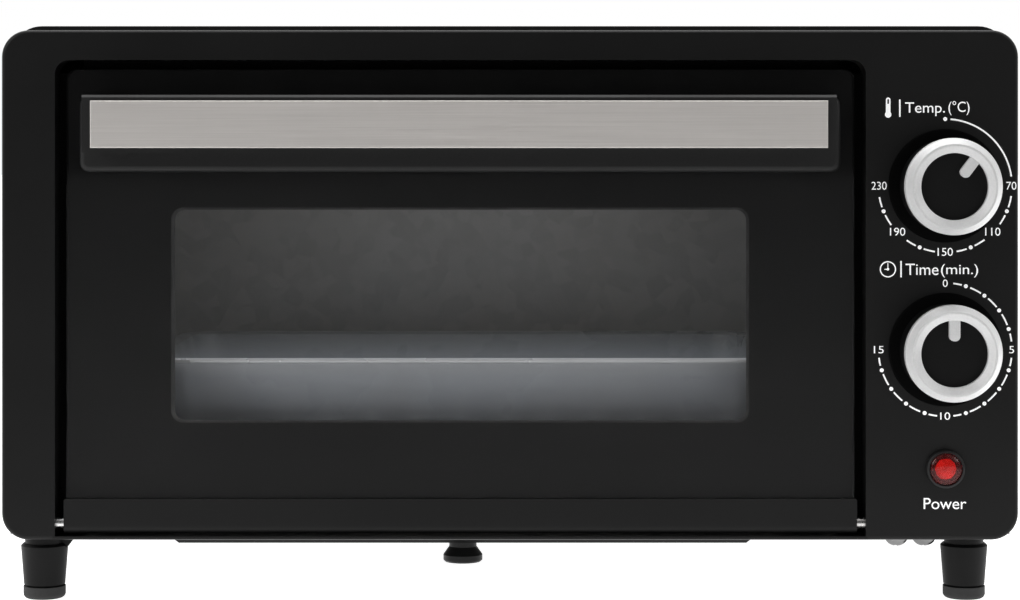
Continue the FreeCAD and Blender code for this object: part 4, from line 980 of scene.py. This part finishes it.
def screws():
    """Cross-recessed heads: six on the rear panel and two domes under the controls."""
    tree = screw_head_tree()
    finish = SLOT_FINISHES["zinc_steel"]

    low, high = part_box("rear_screws")
    radius, height = 3.6 * MM, 1.8 * MM
    places = [(x, high.y - height, z) for x in (low.x + radius, 0, high.x - radius)
              for z in (low.z + radius, high.z - radius)]
    heads = tree.grown({"Radius": radius, "Height": height, "Slot Width": 0.8 * MM,
                        "Slot Depth": 0.9 * MM, "Turn": (math.radians(-90), 0, 0),
                        "Finish": finish}, places)
    finished("rear_screw_heads", smoothed(heads, 40), "case", "zinc_steel", finish,
             stands_for=("rear_screws",))

    low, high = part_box("panel_screws")
    radius, height = 4.3 * MM, 3.2 * MM
    places = [(x, low.y + radius, low.z + height) for x in (low.x + radius, high.x - radius)]
    finish = plated_steel("black_nickel", 0.22, 0.12, 0.3)
    heads = tree.grown({"Radius": radius, "Height": height, "Slot Width": 1.0 * MM,
                        "Slot Depth": 1.2 * MM, "Turn": (math.radians(180), 0, 0),
                        "Finish": finish}, places)
    finished("panel_screw_heads", smoothed(heads, 40), "case", "zinc_steel", finish,
             stands_for=("panel_screws",))


panel_print()
door_print()
lamp()
rolled_tray()
oven_rack()
screws()


# ------------------------------------------------------------------ studio

CAMERA_PLACE = (0.0, -1.1025, 0.172)
CAMERA_LENS = 93.2
CAMERA_SHIFT = -0.1522
OVEN = (0, 0, 0.11)
CAVITY = middle("cavity_top")


def studio_floor():
    """A pale light table, glowing under and behind the oven and dimmer in front."""
    work = bmesh.new()
    bmesh.ops.create_circle(work, cap_ends=True, segments=96, radius=14.0)
    mesh = bpy.data.meshes.new("floor")
    work.to_mesh(mesh)
    work.free()
    floor = bpy.data.objects.new("floor", mesh)
    bpy.context.scene.collection.objects.link(floor)
    table = Finish("pale_floor")
    lit = table.spread(table.along("Y"), 0.0, 1.0, -0.34, -0.14)
    mesh.materials.append(table.principled({
        "Base Color": (0.8, 0.8, 0.8, 1.0), "Roughness": 0.75, "Specular IOR Level": 0.2,
        "Emission Color": table.tint(lit, grey(0.03), grey(1.0)), "Emission Strength": 1.0}))


def studio_light(name, place, aim, width, height, power):
    """A soft box at a place, turned towards its aim, that the camera doesn't see."""
    lamp_data = bpy.data.lights.new(name, "AREA")
    lamp_data.shape = "RECTANGLE"
    lamp_data.size = width
    lamp_data.size_y = height
    lamp_data.energy = power
    light = bpy.data.objects.new(name, lamp_data)
    light.location = place
    light.rotation_euler = (Vector(aim) - Vector(place)).to_track_quat("-Z", "Y").to_euler()
    light.visible_camera = False
    bpy.context.scene.collection.objects.link(light)


def studio_world():
    """Soft surround: bright behind the oven, dim in front of its door."""
    world = bpy.data.worlds.new("studio")
    world.use_nodes = True
    tree = world.node_tree
    tree.nodes.clear()
    place = tree.nodes.new("ShaderNodeTexCoord")
    split = tree.nodes.new("ShaderNodeSeparateXYZ")
    ramp = tree.nodes.new("ShaderNodeMapRange")
    ramp.interpolation_type = "SMOOTHSTEP"
    for label, value in (("From Min", -0.9), ("From Max", 0.3), ("To Min", 0.055), ("To Max", 1.0)):
        ramp.inputs[label].default_value = value
    surround = tree.nodes.new("ShaderNodeBackground")
    surround.inputs["Color"].default_value = (1.0, 1.0, 1.0, 1.0)
    exit_node = tree.nodes.new("ShaderNodeOutputWorld")
    tree.links.new(place.outputs["Generated"], split.inputs[0])
    tree.links.new(split.outputs["Y"], ramp.inputs["Value"])
    tree.links.new(ramp.outputs["Result"], surround.inputs["Strength"])
    tree.links.new(surround.outputs[0], exit_node.inputs[0])
    bpy.context.scene.world = world


def studio_camera():
    """Straight at the front from a little above the handle, with the lens shifted down."""
    lens = bpy.data.cameras.new("front_view")
    lens.lens = CAMERA_LENS
    lens.sensor_width = 36.0
    lens.shift_y = CAMERA_SHIFT
    camera = bpy.data.objects.new("front_view", lens)
    camera.location = CAMERA_PLACE
    camera.rotation_euler = (math.radians(90), 0, 0)
    bpy.context.scene.collection.objects.link(camera)
    bpy.context.scene.camera = camera


studio_floor()
studio_light("key_left", (-1.7, -1.3, 1.2), OVEN, 1.0, 1.0, 17.0)
studio_light("key_right", (1.9, -1.1, 1.3), OVEN, 0.9, 0.9, 9.0)
studio_light("top_box", (0, 0.0, 1.3), OVEN, 1.4, 0.7, 10.0)
studio_light("tray_fill", (CAVITY.x, TRAY_FRONT - 0.012, TRAY_TOP - 0.030),
             (CAVITY.x, TRAY_FRONT, TRAY_TOP - 0.012), 0.2, 0.008, 0.004)
studio_light("cavity_fill", (CAVITY.x, CAVITY.y - 0.045, CAVITY.z - 0.012),
             (CAVITY.x, CAVITY.y - 0.045, 0), 0.2, 0.12, 0.08)
studio_world()
studio_camera()
bpy.context.scene.view_settings.view_transform = "Standard"
